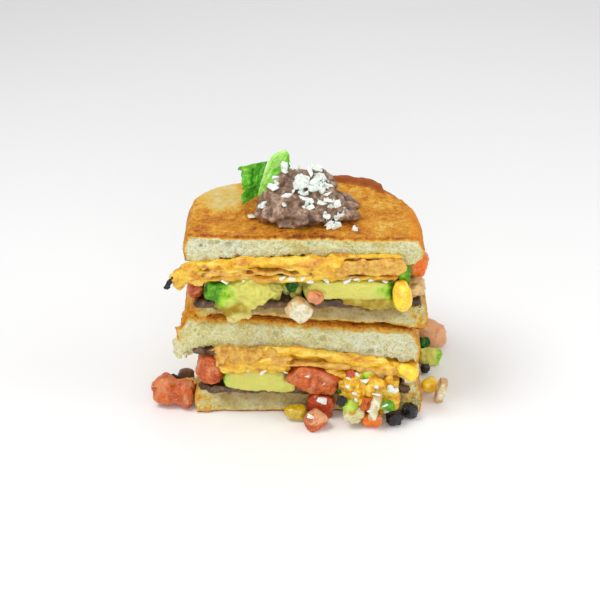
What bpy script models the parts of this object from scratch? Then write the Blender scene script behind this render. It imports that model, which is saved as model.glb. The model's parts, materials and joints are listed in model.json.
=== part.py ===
"""A grilled cheese sandwich, cut in half, its halves stacked with the cut sides to the front.

Each half is two slices of grilled white bread round melted cheese, a crisp tortilla, a filling of avocado,
tomato, sweetcorn and onion, and a spread of refried beans. On top are a dollop of beans and a leaf, and
pieces of the filling have fallen out round the foot.

+X runs along the cut, from left to right as seen from the front, +Y from the cut into the sandwich, and +Z
up. The origin is on the underside of the lowest slice. Sizes are in metres.
"""

import math
from collections import namedtuple

import bmesh
import bpy
from mathutils import Euler, Matrix, Vector, noise

MM = 0.001

# Driving sizes
HALF_WIDTH = 55 * MM  # of a slice, along the cut
CUT_Y = -30 * MM  # where the cut faces stand
UPPER_DEPTH = 66 * MM  # of the half that has the loaf's domed top
LOWER_DEPTH = 62 * MM  # of the half that has the loaf's flat base
GAP = 0.4 * MM  # between touching pieces
BEANS = 2.2 * MM
CHEESE = 4.2 * MM
TORTILLA = 1.7 * MM
FRONT_BAND = 16 * MM  # depth of the separate pieces that show at the cut
SEED = 1  # of the unevenness of the diced pieces

# The outline of a layer: its sides, the crown where it is deepest, and how far back its sides run before
# they round into the back, all seen from above. Powers above 2 make the corners squarer.
Outline = namedtuple("Outline", "left right crown left_side right_side depth left_power right_power front")


def ripple(x, y, size, phase):
    """A slow wave over the plane, the unevenness of pressed bread and soft filling."""
    return size * math.sin(x / (9 * MM) + phase) * math.cos(y / (11 * MM) + 2 * phase)


def level(middle, fall=0.0, sag=0.0, wave=0.0, phase=0.0):
    """A height over the plane that falls to the right and sags at both ends."""

    def height(x, y):
        s = x / HALF_WIDTH
        return middle - fall * s - sag * s * s + ripple(x, y, wave, phase)

    return height


def shifted(height, by):
    return lambda x, y: height(x, y) + by


# Heights, from the foot up. The lower half is thicker on the left, and the upper half makes up for it.
FOOT = level(0.0)
LOWER_BREAD = level(10.9 * MM, 0.2 * MM, -1.6 * MM, 0.3 * MM, 0.5)
LOWER_BEANS = shifted(LOWER_BREAD, GAP + BEANS)
LOWER_LID = level(34.3 * MM, 3.9 * MM, 2.4 * MM, 0.4 * MM, 1.4)
LOWER_CHEESE = shifted(LOWER_LID, -GAP - CHEESE)
LOWER_TORTILLA = shifted(LOWER_CHEESE, -GAP - TORTILLA)
LOWER_TOP = level(50.0 * MM, 3.9 * MM, 0.3 * MM, 0.3 * MM, 0.2)
UPPER_BREAD = level(59.8 * MM, 0.0, 0.0, 0.4 * MM, 2.0)
UPPER_BEANS = shifted(UPPER_BREAD, GAP + BEANS)
UPPER_LID = level(85.6 * MM, 0.3 * MM, 1.6 * MM, 0.5 * MM, 0.9)
UPPER_CHEESE = shifted(UPPER_LID, -GAP - CHEESE)
UPPER_TORTILLA = shifted(UPPER_CHEESE, -GAP - TORTILLA)

UPPER_SLICE = Outline(
    -56.5 * MM, 55.5 * MM, -5 * MM, 38 * MM, 20 * MM, UPPER_DEPTH, 2.0, 2.4, 0.0
)
LOWER_SLICE = Outline(
    -54.0 * MM, 57.5 * MM, 0.0, 48 * MM, 48 * MM, LOWER_DEPTH, 2.6, 2.6, 0.0
)

# Colours of the pieces, as seen: red, green and blue from 0 to 255, and the roughness
FINISHES = {
    "bread": ((211, 170, 96), 0.85),
    "cheese": ((228, 182, 48), 0.40),
    "tortilla": ((214, 160, 68), 0.60),
    "beans": ((132, 104, 86), 0.60),
    "filling": ((206, 196, 96), 0.55),
    "avocado": ((190, 205, 90), 0.45),
    "tomato": ((208, 100, 56), 0.30),
    "corn": ((244, 200, 50), 0.30),
    "onion": ((216, 204, 156), 0.35),
    "olive": ((34, 30, 30), 0.35),
    "leaf": ((92, 158, 30), 0.50),
}


def linear(value):
    """A colour value from 0 to 255, as the light that it stands for."""
    value /= 255
    return value / 12.92 if value <= 0.04045 else ((value + 0.055) / 1.055) ** 2.4


def finish(kind):
    """The material of one kind of food, made once."""
    material = bpy.data.materials.get(kind)
    if material is None:
        colour, roughness = FINISHES[kind]
        material = bpy.data.materials.new(kind)
        material.use_nodes = True
        shader = material.node_tree.nodes["Principled BSDF"]
        shader.inputs["Base Color"].default_value = (*(linear(c) for c in colour), 1.0)
        shader.inputs["Roughness"].default_value = roughness
        shader.inputs["Metallic"].default_value = 0.0
    return material


def cell_block(cells):
    """A cube from -1 to 1 with each side divided into so many cells along X, Y and Z."""
    bm = bmesh.new()
    bmesh.ops.create_cube(bm, size=2)
    for axis, count in enumerate(cells):
        along = [e for e in bm.edges if abs((e.verts[0].co - e.verts[1].co)[axis]) > 1e-6]
        if count > 1:
            bmesh.ops.subdivide_edges(bm, edges=along, cuts=count - 1, use_grid_fill=True)
    return bm


def piece(name, kind, cells, shape, at=(0, 0, 0), turn=(0, 0, 0), between=None):
    """One closed piece of food: a block of cells, each corner moved where shape(u, v, w) says.

    at is its place and turn its rotation in degrees. between holds the heights that it is pressed between."""
    place = Matrix.LocRotScale(
        Vector(at), Euler([math.radians(angle) for angle in turn]), None
    )
    bm = cell_block(cells)
    for vertex in bm.verts:
        point = place @ Vector(shape(*vertex.co))
        if between:
            low, high = between
            point.z = max(point.z, low(point.x, point.y) + 1.5 * GAP)
            point.z = min(point.z, high(point.x, point.y) - 1.5 * GAP)
        vertex.co = place.inverted() @ point
    bmesh.ops.triangulate(bm, faces=bm.faces)
    mesh = bpy.data.meshes.new(name)
    bm.to_mesh(mesh)
    bm.free()
    mesh.materials.append(finish(kind))
    mesh.shade_smooth()
    mesh.set_sharp_from_angle(angle=math.radians(50))
    obj = bpy.data.objects.new(name, mesh)
    obj.matrix_world = place
    bpy.data.collections["grilled_cheese_sandwich"].objects.link(obj)
    return obj


# Layers


def back_of(outline, side):
    """How far back the outline reaches at side, which runs from -1 at the left to 1 at the right."""
    reach, power = (
        (outline.left_side, outline.left_power)
        if side < 0
        else (outline.right_side, outline.right_power)
    )
    return reach + (outline.depth - reach) * max(0.0, 1 - abs(side) ** power) ** (1 / power)


def layer(name, kind, outline, low, high, cells=(12, 6, 1), drawn_in=(0.0, 0.0), wander=0.0):
    """A layer between two heights. drawn_in is how far the lower and the upper edge of its side stand back
    from the middle of it, and wander how unevenly its front edge runs."""

    def shape(u, v, w):
        side = math.sin(u * math.pi / 2)
        inset = drawn_in[w > 0] * abs(w)
        half = (outline.crown - outline.left) if side < 0 else (outline.right - outline.crown)
        x = outline.crown + side * (half - inset)
        front = CUT_Y + outline.front + wander * math.sin(x / (4 * MM)) * math.cos(x / (7 * MM))
        back = CUT_Y + back_of(outline, side) - inset
        y = front + (back - front) * (v + 1) / 2
        bottom, top = low(x, y), high(x, y)
        return x, y, bottom + (top - bottom) * (w + 1) / 2

    return piece(name, kind, cells, shape)


def raised_back(height, outline):
    """height, with the dark crust standing up in a lip along the back, right of the crown."""
    lip, wide, start, end = 3.6 * MM, 7 * MM, 8 * MM, 42 * MM

    def with_lip(x, y):
        side = (x - outline.crown) / (outline.right - outline.crown)
        if not start < x < end or side >= 1:
            return height(x, y)
        inside = CUT_Y + back_of(outline, side) - y
        along = math.sin(math.pi * (x - start) / (end - start))
        return height(x, y) + lip * along * max(0.0, 1 - inside / wide)

    return with_lip


def bread():
    """The four slices. The two in the middle have slipped a little, one to the left and one to the right."""
    cells = (14, 7, 2)
    flat, domed = (1.0 * MM, 1.0 * MM), (0.8 * MM, 2.6 * MM)
    slipped_left = LOWER_SLICE._replace(left=-59.5 * MM, right=55.5 * MM)
    slipped_right = UPPER_SLICE._replace(left=-52.5 * MM, right=58.5 * MM)
    top = raised_back(level(96.2 * MM, 0.8 * MM, 0.0, 0.3 * MM, 1.1), UPPER_SLICE)
    seat = shifted(LOWER_TOP, GAP)
    layer("lower_bottom_bread", "bread", LOWER_SLICE, FOOT, LOWER_BREAD, cells, flat)
    layer("lower_top_bread", "bread", slipped_left, LOWER_LID, LOWER_TOP, cells, (1.0 * MM, 4.5 * MM))
    layer("upper_bottom_bread", "bread", slipped_right, seat, UPPER_BREAD, cells, flat)
    layer("upper_top_bread", "bread", UPPER_SLICE, UPPER_LID, top, cells, domed)


def spreads_and_cheese():
    """The layers that run through each half. Cheese and tortilla stop short where tomato fills the corner."""
    upper = UPPER_SLICE._replace(left=-52 * MM, right=44 * MM, depth=63 * MM)
    lower = LOWER_SLICE._replace(left=-37 * MM, right=53 * MM, depth=59 * MM)
    halves = (
        ("upper", upper, UPPER_SLICE, UPPER_BREAD, UPPER_BEANS, UPPER_TORTILLA, UPPER_CHEESE, UPPER_LID),
        ("lower", lower, LOWER_SLICE, LOWER_BREAD, LOWER_BEANS, LOWER_TORTILLA, LOWER_CHEESE, LOWER_LID),
    )
    for half, inner, whole, crumb, spread, crisp, melt, lid in halves:
        beans = whole._replace(left=-51 * MM, right=54 * MM, depth=whole.depth - 2 * MM)
        layer(half + "_beans", "beans", beans, shifted(crumb, GAP), spread, wander=0.5 * MM)
        layer(half + "_tortilla", "tortilla", inner, crisp, shifted(melt, -GAP), wander=0.6 * MM)
        layer(half + "_cheese", "cheese", inner, melt, shifted(lid, -GAP), wander=1.0 * MM)


def fillings():
    """The mixed filling behind the pieces that show at the cut."""
    behind = FRONT_BAND + 1 * MM
    upper = UPPER_SLICE._replace(left=-50 * MM, right=50 * MM, left_side=36 * MM)
    upper = upper._replace(depth=62 * MM, front=behind)
    lower = LOWER_SLICE._replace(left=-35 * MM, right=50 * MM, depth=57 * MM, front=behind)
    layer(
        "upper_filling",
        "filling",
        upper,
        shifted(UPPER_BEANS, GAP),
        shifted(UPPER_TORTILLA, -GAP),
        drawn_in=(1.5 * MM, 1.5 * MM),
        cells=(12, 5, 2),
    )
    layer(
        "lower_filling",
        "filling",
        lower,
        shifted(LOWER_BEANS, GAP),
        shifted(LOWER_TORTILLA, -GAP),
        drawn_in=(1.5 * MM, 1.5 * MM),
        cells=(12, 5, 2),
    )


# Pieces of filling


def rounded(size, roundness, lumpiness, seed):
    """A block with its corners rounded and its faces uneven, as of diced fruit."""

    def shape(u, v, w):
        corner = Vector((u, v, w))
        ball = corner.normalized() * 1.1
        point = corner.lerp(ball, roundness)
        point += noise.noise_vector(point * 1.1 + Vector((seed, 2 * seed, 3 * seed))) * lumpiness
        return point.x * size[0] / 2, point.y * size[1] / 2, point.z * size[2] / 2

    return shape


def kernel(size):
    """A corn kernel: a flat crown, round shoulders and a narrower foot, which points along -X."""

    def shape(u, v, w):
        point = Vector((u, v, w)).lerp(Vector((u, v, w)).normalized() * 1.1, 0.75)
        narrow = 0.78 + 0.22 * point.x
        return point.x * size[0] / 2, point.y * narrow * size[1] / 2, point.z * narrow * size[2] / 2

    return shape


def avocado_slice(length, depth, height, rim):
    """A slice of avocado: thick and rounded at the rim, where its skin was, and thin at the stone's side.

    It lies along X, with the rim at the right if rim is 1 and at the left if it is -1."""

    def shape(u, v, w):
        towards_rim = u * rim
        thick = 0.72 + 0.28 * math.sqrt(max(0.0, 1 - ((towards_rim - 0.45) / 1.5) ** 2))
        round_end = 1 - 0.14 * w * w
        slant = 0.10 * w * length
        x = u * round_end * length / 2 - slant * 0.5
        y = v * depth / 2 * (1 - 0.12 * abs(w))
        z = w * thick * height / 2 - 0.08 * height * u * u
        return x, y, z

    return shape


def draped(width, under, over, end=0.72, tip=1.0):
    """A soft piece that lies on a slice and hangs over its cut edge.

    under and over are its lower and upper sides, from inside the sandwich to the hanging tip, as depths
    from the cut and heights in millimetres. end is how thick it stays at its left and right ends, and tip
    how wide it stays where it hangs lowest."""

    def along(path, t):
        t = min(max(t, 0.0), 1.0) * (len(path) - 1)
        i = min(int(t), len(path) - 2)
        a, b = Vector(path[i]), Vector(path[i + 1])
        return a.lerp(b, t - i)

    def shape(u, v, w):
        t = (1 - v) / 2
        low, high = along(under, t), along(over, t)
        share = (w + 1) / 2 * (1 - (1 - end) * u * u)
        side = low.lerp(high, share)
        return u * width / 2 * (1 - (1 - tip) * t**4), side.x * MM, side.y * MM

    return shape


# Every separate piece that shows at the cut or has fallen out: its kind, its middle, with the depth measured
# from the cut, and its size, all in millimetres, its turn in degrees and the heights that it lies between.
UPPER_GAP = (UPPER_BEANS, UPPER_TORTILLA)
LOWER_GAP = (LOWER_BEANS, LOWER_TORTILLA)
ON_TABLE = (shifted(FOOT, -1.5 * GAP), UPPER_LID)
Bit = namedtuple("Bit", "name kind at size turn between", defaults=((0, 0, 0), None))

BITS = (
    # at the cut of the upper half
    Bit("tomato_upper_left", "tomato", (-52.0, 6, 66.8), (7, 12, 7), (0, 0, 12)),
    Bit("herb_upper", "leaf", (-6.2, 1, 72), (5, 7, 6), (10, 0, 20), UPPER_GAP),
    Bit("onion_upper", "onion", (-2.6, -5.7, 61), (13.4, 7.0, 10.6), (0, 24, 0)),
    Bit("corn_upper", "corn", (45.0, -4.9, 67), (14, 8.0, 10), (0, -80, 0)),
    Bit("tomato_upper_right", "tomato", (53.0, 9, 78.2), (9.2, 12, 10), (0, 0, -8)),
    Bit("beans_upper_right", "beans", (51.0, 7, 67.2), (11, 14, 7.5)),
    Bit("avocado_upper_end", "avocado", (45.2, 4, 75.6), (3.6, 8, 8), (0, -8, 0), UPPER_GAP),
    Bit("tomato_upper_middle", "tomato", (4.8, -6.2, 68.4), (7.4, 5.6, 5), (0, 10, 0)),
    Bit("cheese_corner", "cheese", (-54.4, -4.6, 79.6), (12, 7.0, 11), (0, 12, 0)),
    Bit("olive_upper_left", "olive", (-62.4, -8.6, 77.4), (3, 3, 8.4), (0, 32, 0)),
    # at the cut of the lower half
    Bit("tomato_lower_left", "tomato", (-45.6, 4, 24.0), (13.4, 13, 18), (0, 6, 8), (LOWER_BEANS, LOWER_LID)),
    Bit("tomato_lower_middle", "tomato", (3.7, 2, 20), (20.4, 16, 16), (0, 8, 0), LOWER_GAP),
    Bit("corn_lower_right", "corn", (49.0, -4.6, 26.5), (11, 7, 9), (0, 30, 0)),
    Bit("onion_lower_right", "onion", (50.4, 7, 17.6), (7, 12, 6), (0, 0, 10), LOWER_GAP),
    # at the left side and the back of the lower half
    Bit("avocado_lower_side", "avocado", (-44.5, 21, 25), (12, 16, 18), (0, 4, 6), (LOWER_BEANS, LOWER_LID)),
    Bit("tomato_lower_back", "tomato", (-43.6, 39, 25), (11, 14, 18), (0, 0, -10), (LOWER_BEANS, LOWER_LID)),
    # fallen out along the foot of the right side
    Bit("tomato_right", "tomato", (64.4, 63.5, 6.6), (19, 13, 13.4), (0, 8, -14), ON_TABLE),
    Bit("herb_right", "leaf", (61.4, 52.0, 7.0), (6, 3.6, 7.6), (0, 20, 30), ON_TABLE),
    Bit("avocado_right", "avocado", (64.2, 45.0, 4.6), (12, 7.4, 8.6), (0, 6, 8), ON_TABLE),
    Bit("olive_right", "olive", (61.4, 35.0, 3.0), (5, 5, 5.6), (0, 0, 20), ON_TABLE),
    Bit("corn_right", "corn", (61.9, 17.6, 4.4), (8, 8, 8.8), (0, 0, 20), ON_TABLE),
    Bit("onion_right", "onion", (67.4, 10.6, 6.0), (4.4, 7, 12), (0, 14, 0), ON_TABLE),
    # fallen out round the left and front of the foot
    Bit("tomato_fallen", "tomato", (-65.0, 8, 7.6), (20, 14, 14), (0, 8, -12), ON_TABLE),
    Bit("tortilla_fallen", "tortilla", (-57.8, 19.6, 3.2), (6, 7, 6), (0, 0, 25), ON_TABLE),
    Bit("bean_fallen", "olive", (-60.2, 28.0, 4.0), (9, 6, 7), (0, 15, 20), ON_TABLE),
    Bit("olive_fallen", "olive", (-66.2, 22.6, 3.8), (5, 6, 7), (0, 0, 30), ON_TABLE),
    Bit("corn_front", "corn", (-4.9, -6.2, 4.3), (11, 9, 8.6), (0, 10, 10), ON_TABLE),
    Bit("tomato_front_dark", "tomato", (8.0, -3.7, 6.4), (13, 5.4, 12.4), (0, 8, 0), ON_TABLE),
    Bit("tomato_front", "tomato", (5.0, -13.4, 4.2), (10.5, 9, 8.6), (0, 10, 30), ON_TABLE),
    Bit("olive_front_left", "olive", (17.6, -12.8, 14.8), (6, 4.4, 5), (0, 15, 0)),
    Bit("bread_fallen", "bread", (22.8, -13.0, 7.6), (9, 4.6, 7), (0, 20, 10)),
    Bit("tomato_front_right", "tomato", (32.4, -11.8, 3.4), (8.4, 7, 7.0), (0, 0, 15), ON_TABLE),
    Bit("olive_front", "olive", (43.4, -10.6, 3.6), (8, 7, 7.4), (0, 20, 30), ON_TABLE),
    Bit("olive_front_right", "olive", (51.0, -4.8, 3.8), (8, 7, 7.8), (0, 10, -20), ON_TABLE),
    Bit("onion_front", "onion", (33.4, -15.4, 13.6), (4.4, 3.4, 15), (-10, 14, 0)),
    Bit("avocado_front", "avocado", (39.4, -13.0, 12.6), (7, 4.4, 5.4), (0, 20, 0)),
)

BIT_CELLS = (3, 3, 3)
ROUNDNESS = {
    "bread": 0.30,
    "tortilla": 0.40,
    "tomato": 0.62,
    "onion": 0.35,
    "olive": 0.70,
    "leaf": 0.50,
    "avocado": 0.55,
    "beans": 0.80,
    "cheese": 0.75,
}
LUMPINESS = {
    "bread": 0.30,
    "tortilla": 0.30,
    "tomato": 0.24,
    "onion": 0.12,
    "olive": 0.22,
    "leaf": 0.30,
    "avocado": 0.12,
    "beans": 0.20,
    "cheese": 0.15,
}


def bits():
    for number, bit in enumerate(BITS):
        size = [side * MM for side in bit.size]
        x, depth, z = (value * MM for value in bit.at)
        if bit.kind == "corn":
            shape = kernel(size)
        else:
            shape = rounded(size, ROUNDNESS[bit.kind], LUMPINESS[bit.kind], number + 1)
        piece(bit.name, bit.kind, BIT_CELLS, shape, (x, CUT_Y + depth, z), bit.turn, bit.between)


def avocados():
    """The slices at the cut. The upper left one hangs over the edge of its bread."""
    cells = (6, 3, 3)
    upper = avocado_slice(41 * MM, 17 * MM, 13.5 * MM, 1)
    at_right = (19 * MM, CUT_Y + 6.5 * MM, 69.5 * MM)
    piece("avocado_upper_right", "avocado", cells, upper, at_right, between=UPPER_GAP)
    lower = avocado_slice(30.5 * MM, 17 * MM, 12.4 * MM, -1)
    at_left = (-22.9 * MM, CUT_Y + 5.0 * MM, 18.6 * MM)
    piece("avocado_lower", "avocado", cells, lower, at_left, between=LOWER_GAP)
    hanging = draped(
        36 * MM,
        [(15, 64), (8, 63.6), (-0.8, 63.4), (-1.0, 60), (-1.4, 55)],
        [(15, 76), (8, 76), (-1.5, 75), (-7.0, 67.5), (-5.5, 55.6)],
        tip=0.45,
    )
    piece("avocado_upper_left", "avocado", (6, 6, 2), hanging, (-29.0 * MM, CUT_Y, 0))


def cheese_spill():
    """Melted cheese, with corn and onion in it, that has run over the front of the lowest slice."""
    spill = draped(
        29.6 * MM,
        [(14, 15.4), (7, 15.2), (-0.9, 15.0), (-1.2, 9), (-1.6, 3.0)],
        [(14, 20.8), (7, 22.0), (-5.5, 22.5), (-10.5, 13), (-5.5, 3.4)],
        end=0.8,
        tip=0.6,
    )
    piece("cheese_spill", "cheese", (6, 6, 2), spill, (30.6 * MM, CUT_Y, 0))


# Toppings


def dollop():
    """The mound of refried beans: a round heap with a tail that was drawn out to the right."""
    middle = Vector((-2 * MM, CUT_Y + 28 * MM, 96.2 * MM + 1.6 * GAP))
    wide, deep, tall, tail = 21.5 * MM, 20 * MM, 21 * MM, 5 * MM

    def shape(u, v, w):
        round_way = Vector((u, v, 0))
        square = max(abs(u), abs(v))
        if square > 0:
            round_way *= square / round_way.length
        angle = math.atan2(round_way.y, round_way.x)
        reach = 1 + 0.07 * math.sin(3 * angle + 0.6) + 0.05 * math.sin(5 * angle)
        stretch = tail * max(0.0, math.cos(angle - 0.25)) ** 6
        lift = (w + 1) / 2
        shrink = 1 - 0.42 * lift**2
        x = round_way.x * (wide + stretch * (1 - lift)) * reach * shrink
        y = round_way.y * deep * reach * shrink
        dome = 1 - 0.55 * round_way.length_squared
        z = lift * tall * dome + 0.9 * MM * noise.noise(Vector((x, y, 0)) / (7 * MM)) * lift
        return x, y, z

    piece("bean_dollop", "beans", (8, 8, 3), shape, middle)


def leaf():
    """A leaf of coriander, folded along its rib into two lobes, that stands behind the left of the dollop."""
    across, along = 6, 6
    foot = Vector((-26.5 * MM, CUT_Y + 36.5 * MM, 97.4 * MM))
    height, lean, fold = 18.5 * MM, 10 * MM, 3.0 * MM
    bm = bmesh.new()
    bmesh.ops.create_grid(bm, x_segments=across, y_segments=along, size=1)
    for vertex in bm.verts:
        u, v = vertex.co.x, (vertex.co.y + 1) / 2
        wide = (3.5 + 11.5 * v) * MM if u < 0 else (1.5 + 7.0 * v) * MM
        taller = 5 * MM * max(0.0, u) * v + 2 * MM * min(0.0, u) * v
        vertex.co = (
            foot.x + u * wide + lean * v,
            foot.y + fold * (1 - abs(u)) + 4 * MM * v,
            foot.z + height * v + taller + 0.8 * MM * math.sin(5 * u + 4 * v) * v,
        )
    blade = bpy.data.meshes.new("garnish_leaf")
    bm.to_mesh(blade)
    bm.free()
    blade.materials.append(finish("leaf"))
    blade.shade_smooth()
    obj = bpy.data.objects.new("garnish_leaf", blade)
    bpy.data.collections["grilled_cheese_sandwich"].objects.link(obj)
    skin = obj.modifiers.new("thickness", "SOLIDIFY")
    skin.thickness = 0.9 * MM
    skin.offset = 0.0


def main():
    noise.seed_set(SEED)
    for obj in list(bpy.data.objects):
        bpy.data.objects.remove(obj)
    sandwich = bpy.data.collections.new("grilled_cheese_sandwich")
    bpy.context.scene.collection.children.link(sandwich)
    bread()
    spreads_and_cheese()
    fillings()
    avocados()
    cheese_spill()
    bits()
    dollop()
    leaf()


main()
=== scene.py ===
"""The looks of the grilled cheese sandwich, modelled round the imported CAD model.

Each piece starts from the CAD solid that it stands for, made into a fine mesh, and is then shaped by
functions: pores in the crumb, drips of cheese, flesh of the fruit. Masks painted on its points, such as how
toasted they are, drive the procedural materials. Shapes are worked out in millimetres in the CAD's frame.
Most places are given as x, depth from the cut and z.
"""

import json
import math
import random

import bmesh
import bpy
import numpy as np
from mathutils import Euler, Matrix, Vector, noise
from mathutils.bvhtree import BVHTree
from mathutils.kdtree import KDTree


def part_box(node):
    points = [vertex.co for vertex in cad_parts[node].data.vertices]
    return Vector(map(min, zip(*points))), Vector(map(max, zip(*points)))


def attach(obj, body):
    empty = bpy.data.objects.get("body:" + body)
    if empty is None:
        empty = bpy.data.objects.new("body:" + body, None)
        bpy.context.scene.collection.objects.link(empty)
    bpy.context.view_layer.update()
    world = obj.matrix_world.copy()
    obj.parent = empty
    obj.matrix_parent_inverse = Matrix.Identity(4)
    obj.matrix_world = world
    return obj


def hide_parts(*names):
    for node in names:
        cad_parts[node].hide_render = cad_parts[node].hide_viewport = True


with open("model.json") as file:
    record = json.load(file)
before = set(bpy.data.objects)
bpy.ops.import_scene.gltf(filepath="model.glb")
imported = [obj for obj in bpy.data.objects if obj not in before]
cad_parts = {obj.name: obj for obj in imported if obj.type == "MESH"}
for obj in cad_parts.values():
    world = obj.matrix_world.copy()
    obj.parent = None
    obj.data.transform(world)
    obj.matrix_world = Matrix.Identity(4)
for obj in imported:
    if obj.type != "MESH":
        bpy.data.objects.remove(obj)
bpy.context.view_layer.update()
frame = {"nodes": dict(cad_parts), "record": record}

MM = 0.001
SLOT_OF = {part["node"]: part["material_slot"] for part in frame["record"]["subparts"]}
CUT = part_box("upper_top_bread")[0].y / MM  # the y at which the cut faces stand


# Numbers over the surface


def ramp(value, start, end):
    """0 at start, 1 at end, and smooth between them."""
    t = np.clip((value - start) / (end - start), 0, 1)
    return t * t * (3 - 2 * t)


def waves(points, size, seed=0):
    """Smooth noise from about -1 to 1, with its bumps size apart. size may differ along X, Y and Z."""
    places = points / np.asarray(size) + 31.7 * seed
    return np.array([noise.noise(place) for place in places.tolist()])


def rough(points, size, seed=0, octaves=3):
    """Noise with finer and finer detail in it."""
    return sum(waves(points, np.asarray(size) / 2**k, seed + k) / 2**k for k in range(octaves))


def creased(points, size, seed, octaves=2):
    """Noise that rises to 1 in sharp creases and falls to about 0 between them."""
    return sum((1 - 2 * abs(waves(points, size / 2**k, seed + k))) / 2**k for k in range(octaves)) / 2


def pits(points, size, seed, share, reach=0.55):
    """How deep the points lie in scattered round pits, from 0 to 1. share is how many cells have one."""
    depth = np.zeros(len(points))
    for i, place in enumerate((points / size + 13.3 * seed).tolist()):
        distances, centres = noise.voronoi(place)
        chance = (noise.cell(centres[0] * 37.0) + 1) / 2
        if chance < share:
            radius = reach * (0.45 + 0.55 * chance / share)
            depth[i] = math.sqrt(max(0.0, 1 - (distances[0] / radius) ** 2))
    return depth


def shifted(points, x=0.0, y=0.0, z=0.0):
    """The points moved by so much along each axis. Each may be one number or one for every point."""
    return points + np.stack(np.broadcast_arrays(x, y, z, points[:, 0])[:3], axis=1)


# Meshes as arrays


def mesh_of(points, faces):
    mesh = bpy.data.meshes.new("shape")
    mesh.from_pydata((np.asarray(points) * MM).tolist(), [], faces)
    return mesh


def values_of(mesh, name):
    values = np.empty(len(mesh.vertices) * 3)
    mesh.vertices.foreach_get(name, values)
    return values.reshape(-1, 3)


def points_of(mesh):
    return values_of(mesh, "co") / MM


def move_points(mesh, points):
    mesh.vertices.foreach_set("co", (points * MM).ravel())
    mesh.update()


def swell(mesh, height):
    """Moves each point out by its height, or in where that is negative."""
    move_points(mesh, points_of(mesh) + values_of(mesh, "normal") * height[:, None])


def relax(mesh, steps, share=0.5):
    """Moves the points towards the middle of their neighbours, which rounds edges and corners."""
    edges = np.empty(len(mesh.edges) * 2, np.int32)
    mesh.edges.foreach_get("vertices", edges)
    a, b = edges.reshape(-1, 2).T
    points = points_of(mesh)
    count = len(points)
    joints = np.maximum(np.bincount(edges, minlength=count), 1)
    for _ in range(steps):
        for axis in range(3):
            values = points[:, axis]
            total = np.bincount(a, values[b], count) + np.bincount(b, values[a], count)
            points[:, axis] = values + share * (total / joints - values)
    move_points(mesh, points)


def paint(mesh, **masks):
    """Writes each mask, a number for every point, where the materials can read it."""
    for name, values in masks.items():
        layer = mesh.attributes.new(name, "FLOAT", "POINT")
        layer.data.foreach_set("value", np.clip(values, 0, 1).astype(np.float32))


def bmesh_of(*meshes):
    bm = bmesh.new()
    for mesh in meshes:
        bm.from_mesh(mesh)
    return bm


def written(bm):
    """The bmesh as a mesh."""
    mesh = bpy.data.meshes.new("shape")
    bm.to_mesh(mesh)
    bm.free()
    return mesh


def joined(*meshes):
    return written(bmesh_of(*meshes))


def cad_mesh(node):
    """A copy of a CAD solid's mesh, with its points joined up."""
    bm = bmesh_of(frame["nodes"][node].data)
    bmesh.ops.remove_doubles(bm, verts=bm.verts, dist=0.01 * MM)
    return written(bm)


def shown(name, data):
    """A new object in the scene."""
    obj = bpy.data.objects.new(name, data)
    bpy.context.scene.collection.objects.link(obj)
    return obj


def modified(mesh, kind, **settings):
    """The mesh as one modifier leaves it."""
    source = shown("source", mesh)
    modifier = source.modifiers.new("step", kind)
    for name, value in settings.items():
        setattr(modifier, name, value)
    result = bpy.data.meshes.new_from_object(source.evaluated_get(bpy.context.evaluated_depsgraph_get()))
    bpy.data.objects.remove(source)
    return result


def evenly(mesh, cell, steps=0):
    """The same closed shape, made of even cells and smoothed, with what overlapped in it made one."""
    result = modified(mesh, "REMESH", mode="VOXEL", voxel_size=cell * MM)
    relax(result, steps)
    return result


def refine(mesh, chosen):
    """The mesh with the faces divided whose points are all chosen."""
    bm = bmesh_of(mesh)
    bm.verts.ensure_lookup_table()
    edges = {e.index: e for f in bm.faces if all(chosen[v.index] for v in f.verts) for e in f.edges}
    bmesh.ops.subdivide_edges(bm, edges=list(edges.values()), cuts=1, use_grid_fill=True)
    return written(bm)


def distance_to(mesh, chosen, points):
    """How far each point is from those faces of the mesh for whose normal chosen(normal) holds."""
    faces = [tuple(p.vertices) for p in mesh.polygons if chosen(p.normal)]
    tree = BVHTree.FromPolygons([v.co for v in mesh.vertices], faces)
    return np.array([tree.find_nearest(p)[3] for p in (points * MM).tolist()]) / MM


def arrays_of(bm):
    """The points and faces of the bmesh, which is then freed."""
    bm.verts.index_update()
    points = np.array([v.co for v in bm.verts])
    faces = [[v.index for v in f.verts] for f in bm.faces]
    bm.free()
    return points, faces


def ball(divisions):
    bm = bmesh.new()
    bmesh.ops.create_icosphere(bm, subdivisions=divisions, radius=1)
    return arrays_of(bm)


BALL = ball(3)
SMALL_BALL = ball(2)


def block(share, taper=0.0):
    """A ball moved out towards the cube round it by that share, and narrower at its top as taper says."""
    points = BALL[0]
    cube = points / abs(points).max(axis=1)[:, None]
    return (points * (1 - share) + cube * share) * (1 - taper * points[:, 2:3]), BALL[1]


DICE = block(0.75)


def lumps(spots, shape=BALL):
    """One mesh of balls or other shapes. Each spot has a centre, half sizes, and angles of its turn."""
    points, faces = [], []
    for centre, size, angles in spots:
        turn = np.array(Euler([math.radians(a) for a in angles]).to_matrix())
        faces += [[i + len(points) for i in face] for face in shape[1]]
        points += ((shape[0] * size) @ turn.T + centre).tolist()
    return mesh_of(points, faces)


def spots(*rows):
    """Spots for lumps. Each row has x, depth from the cut and z of the centre, half sizes, and angles."""
    return [((x, CUT + deep, z), rest[:3], rest[3:]) for x, deep, z, *rest in rows]


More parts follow.
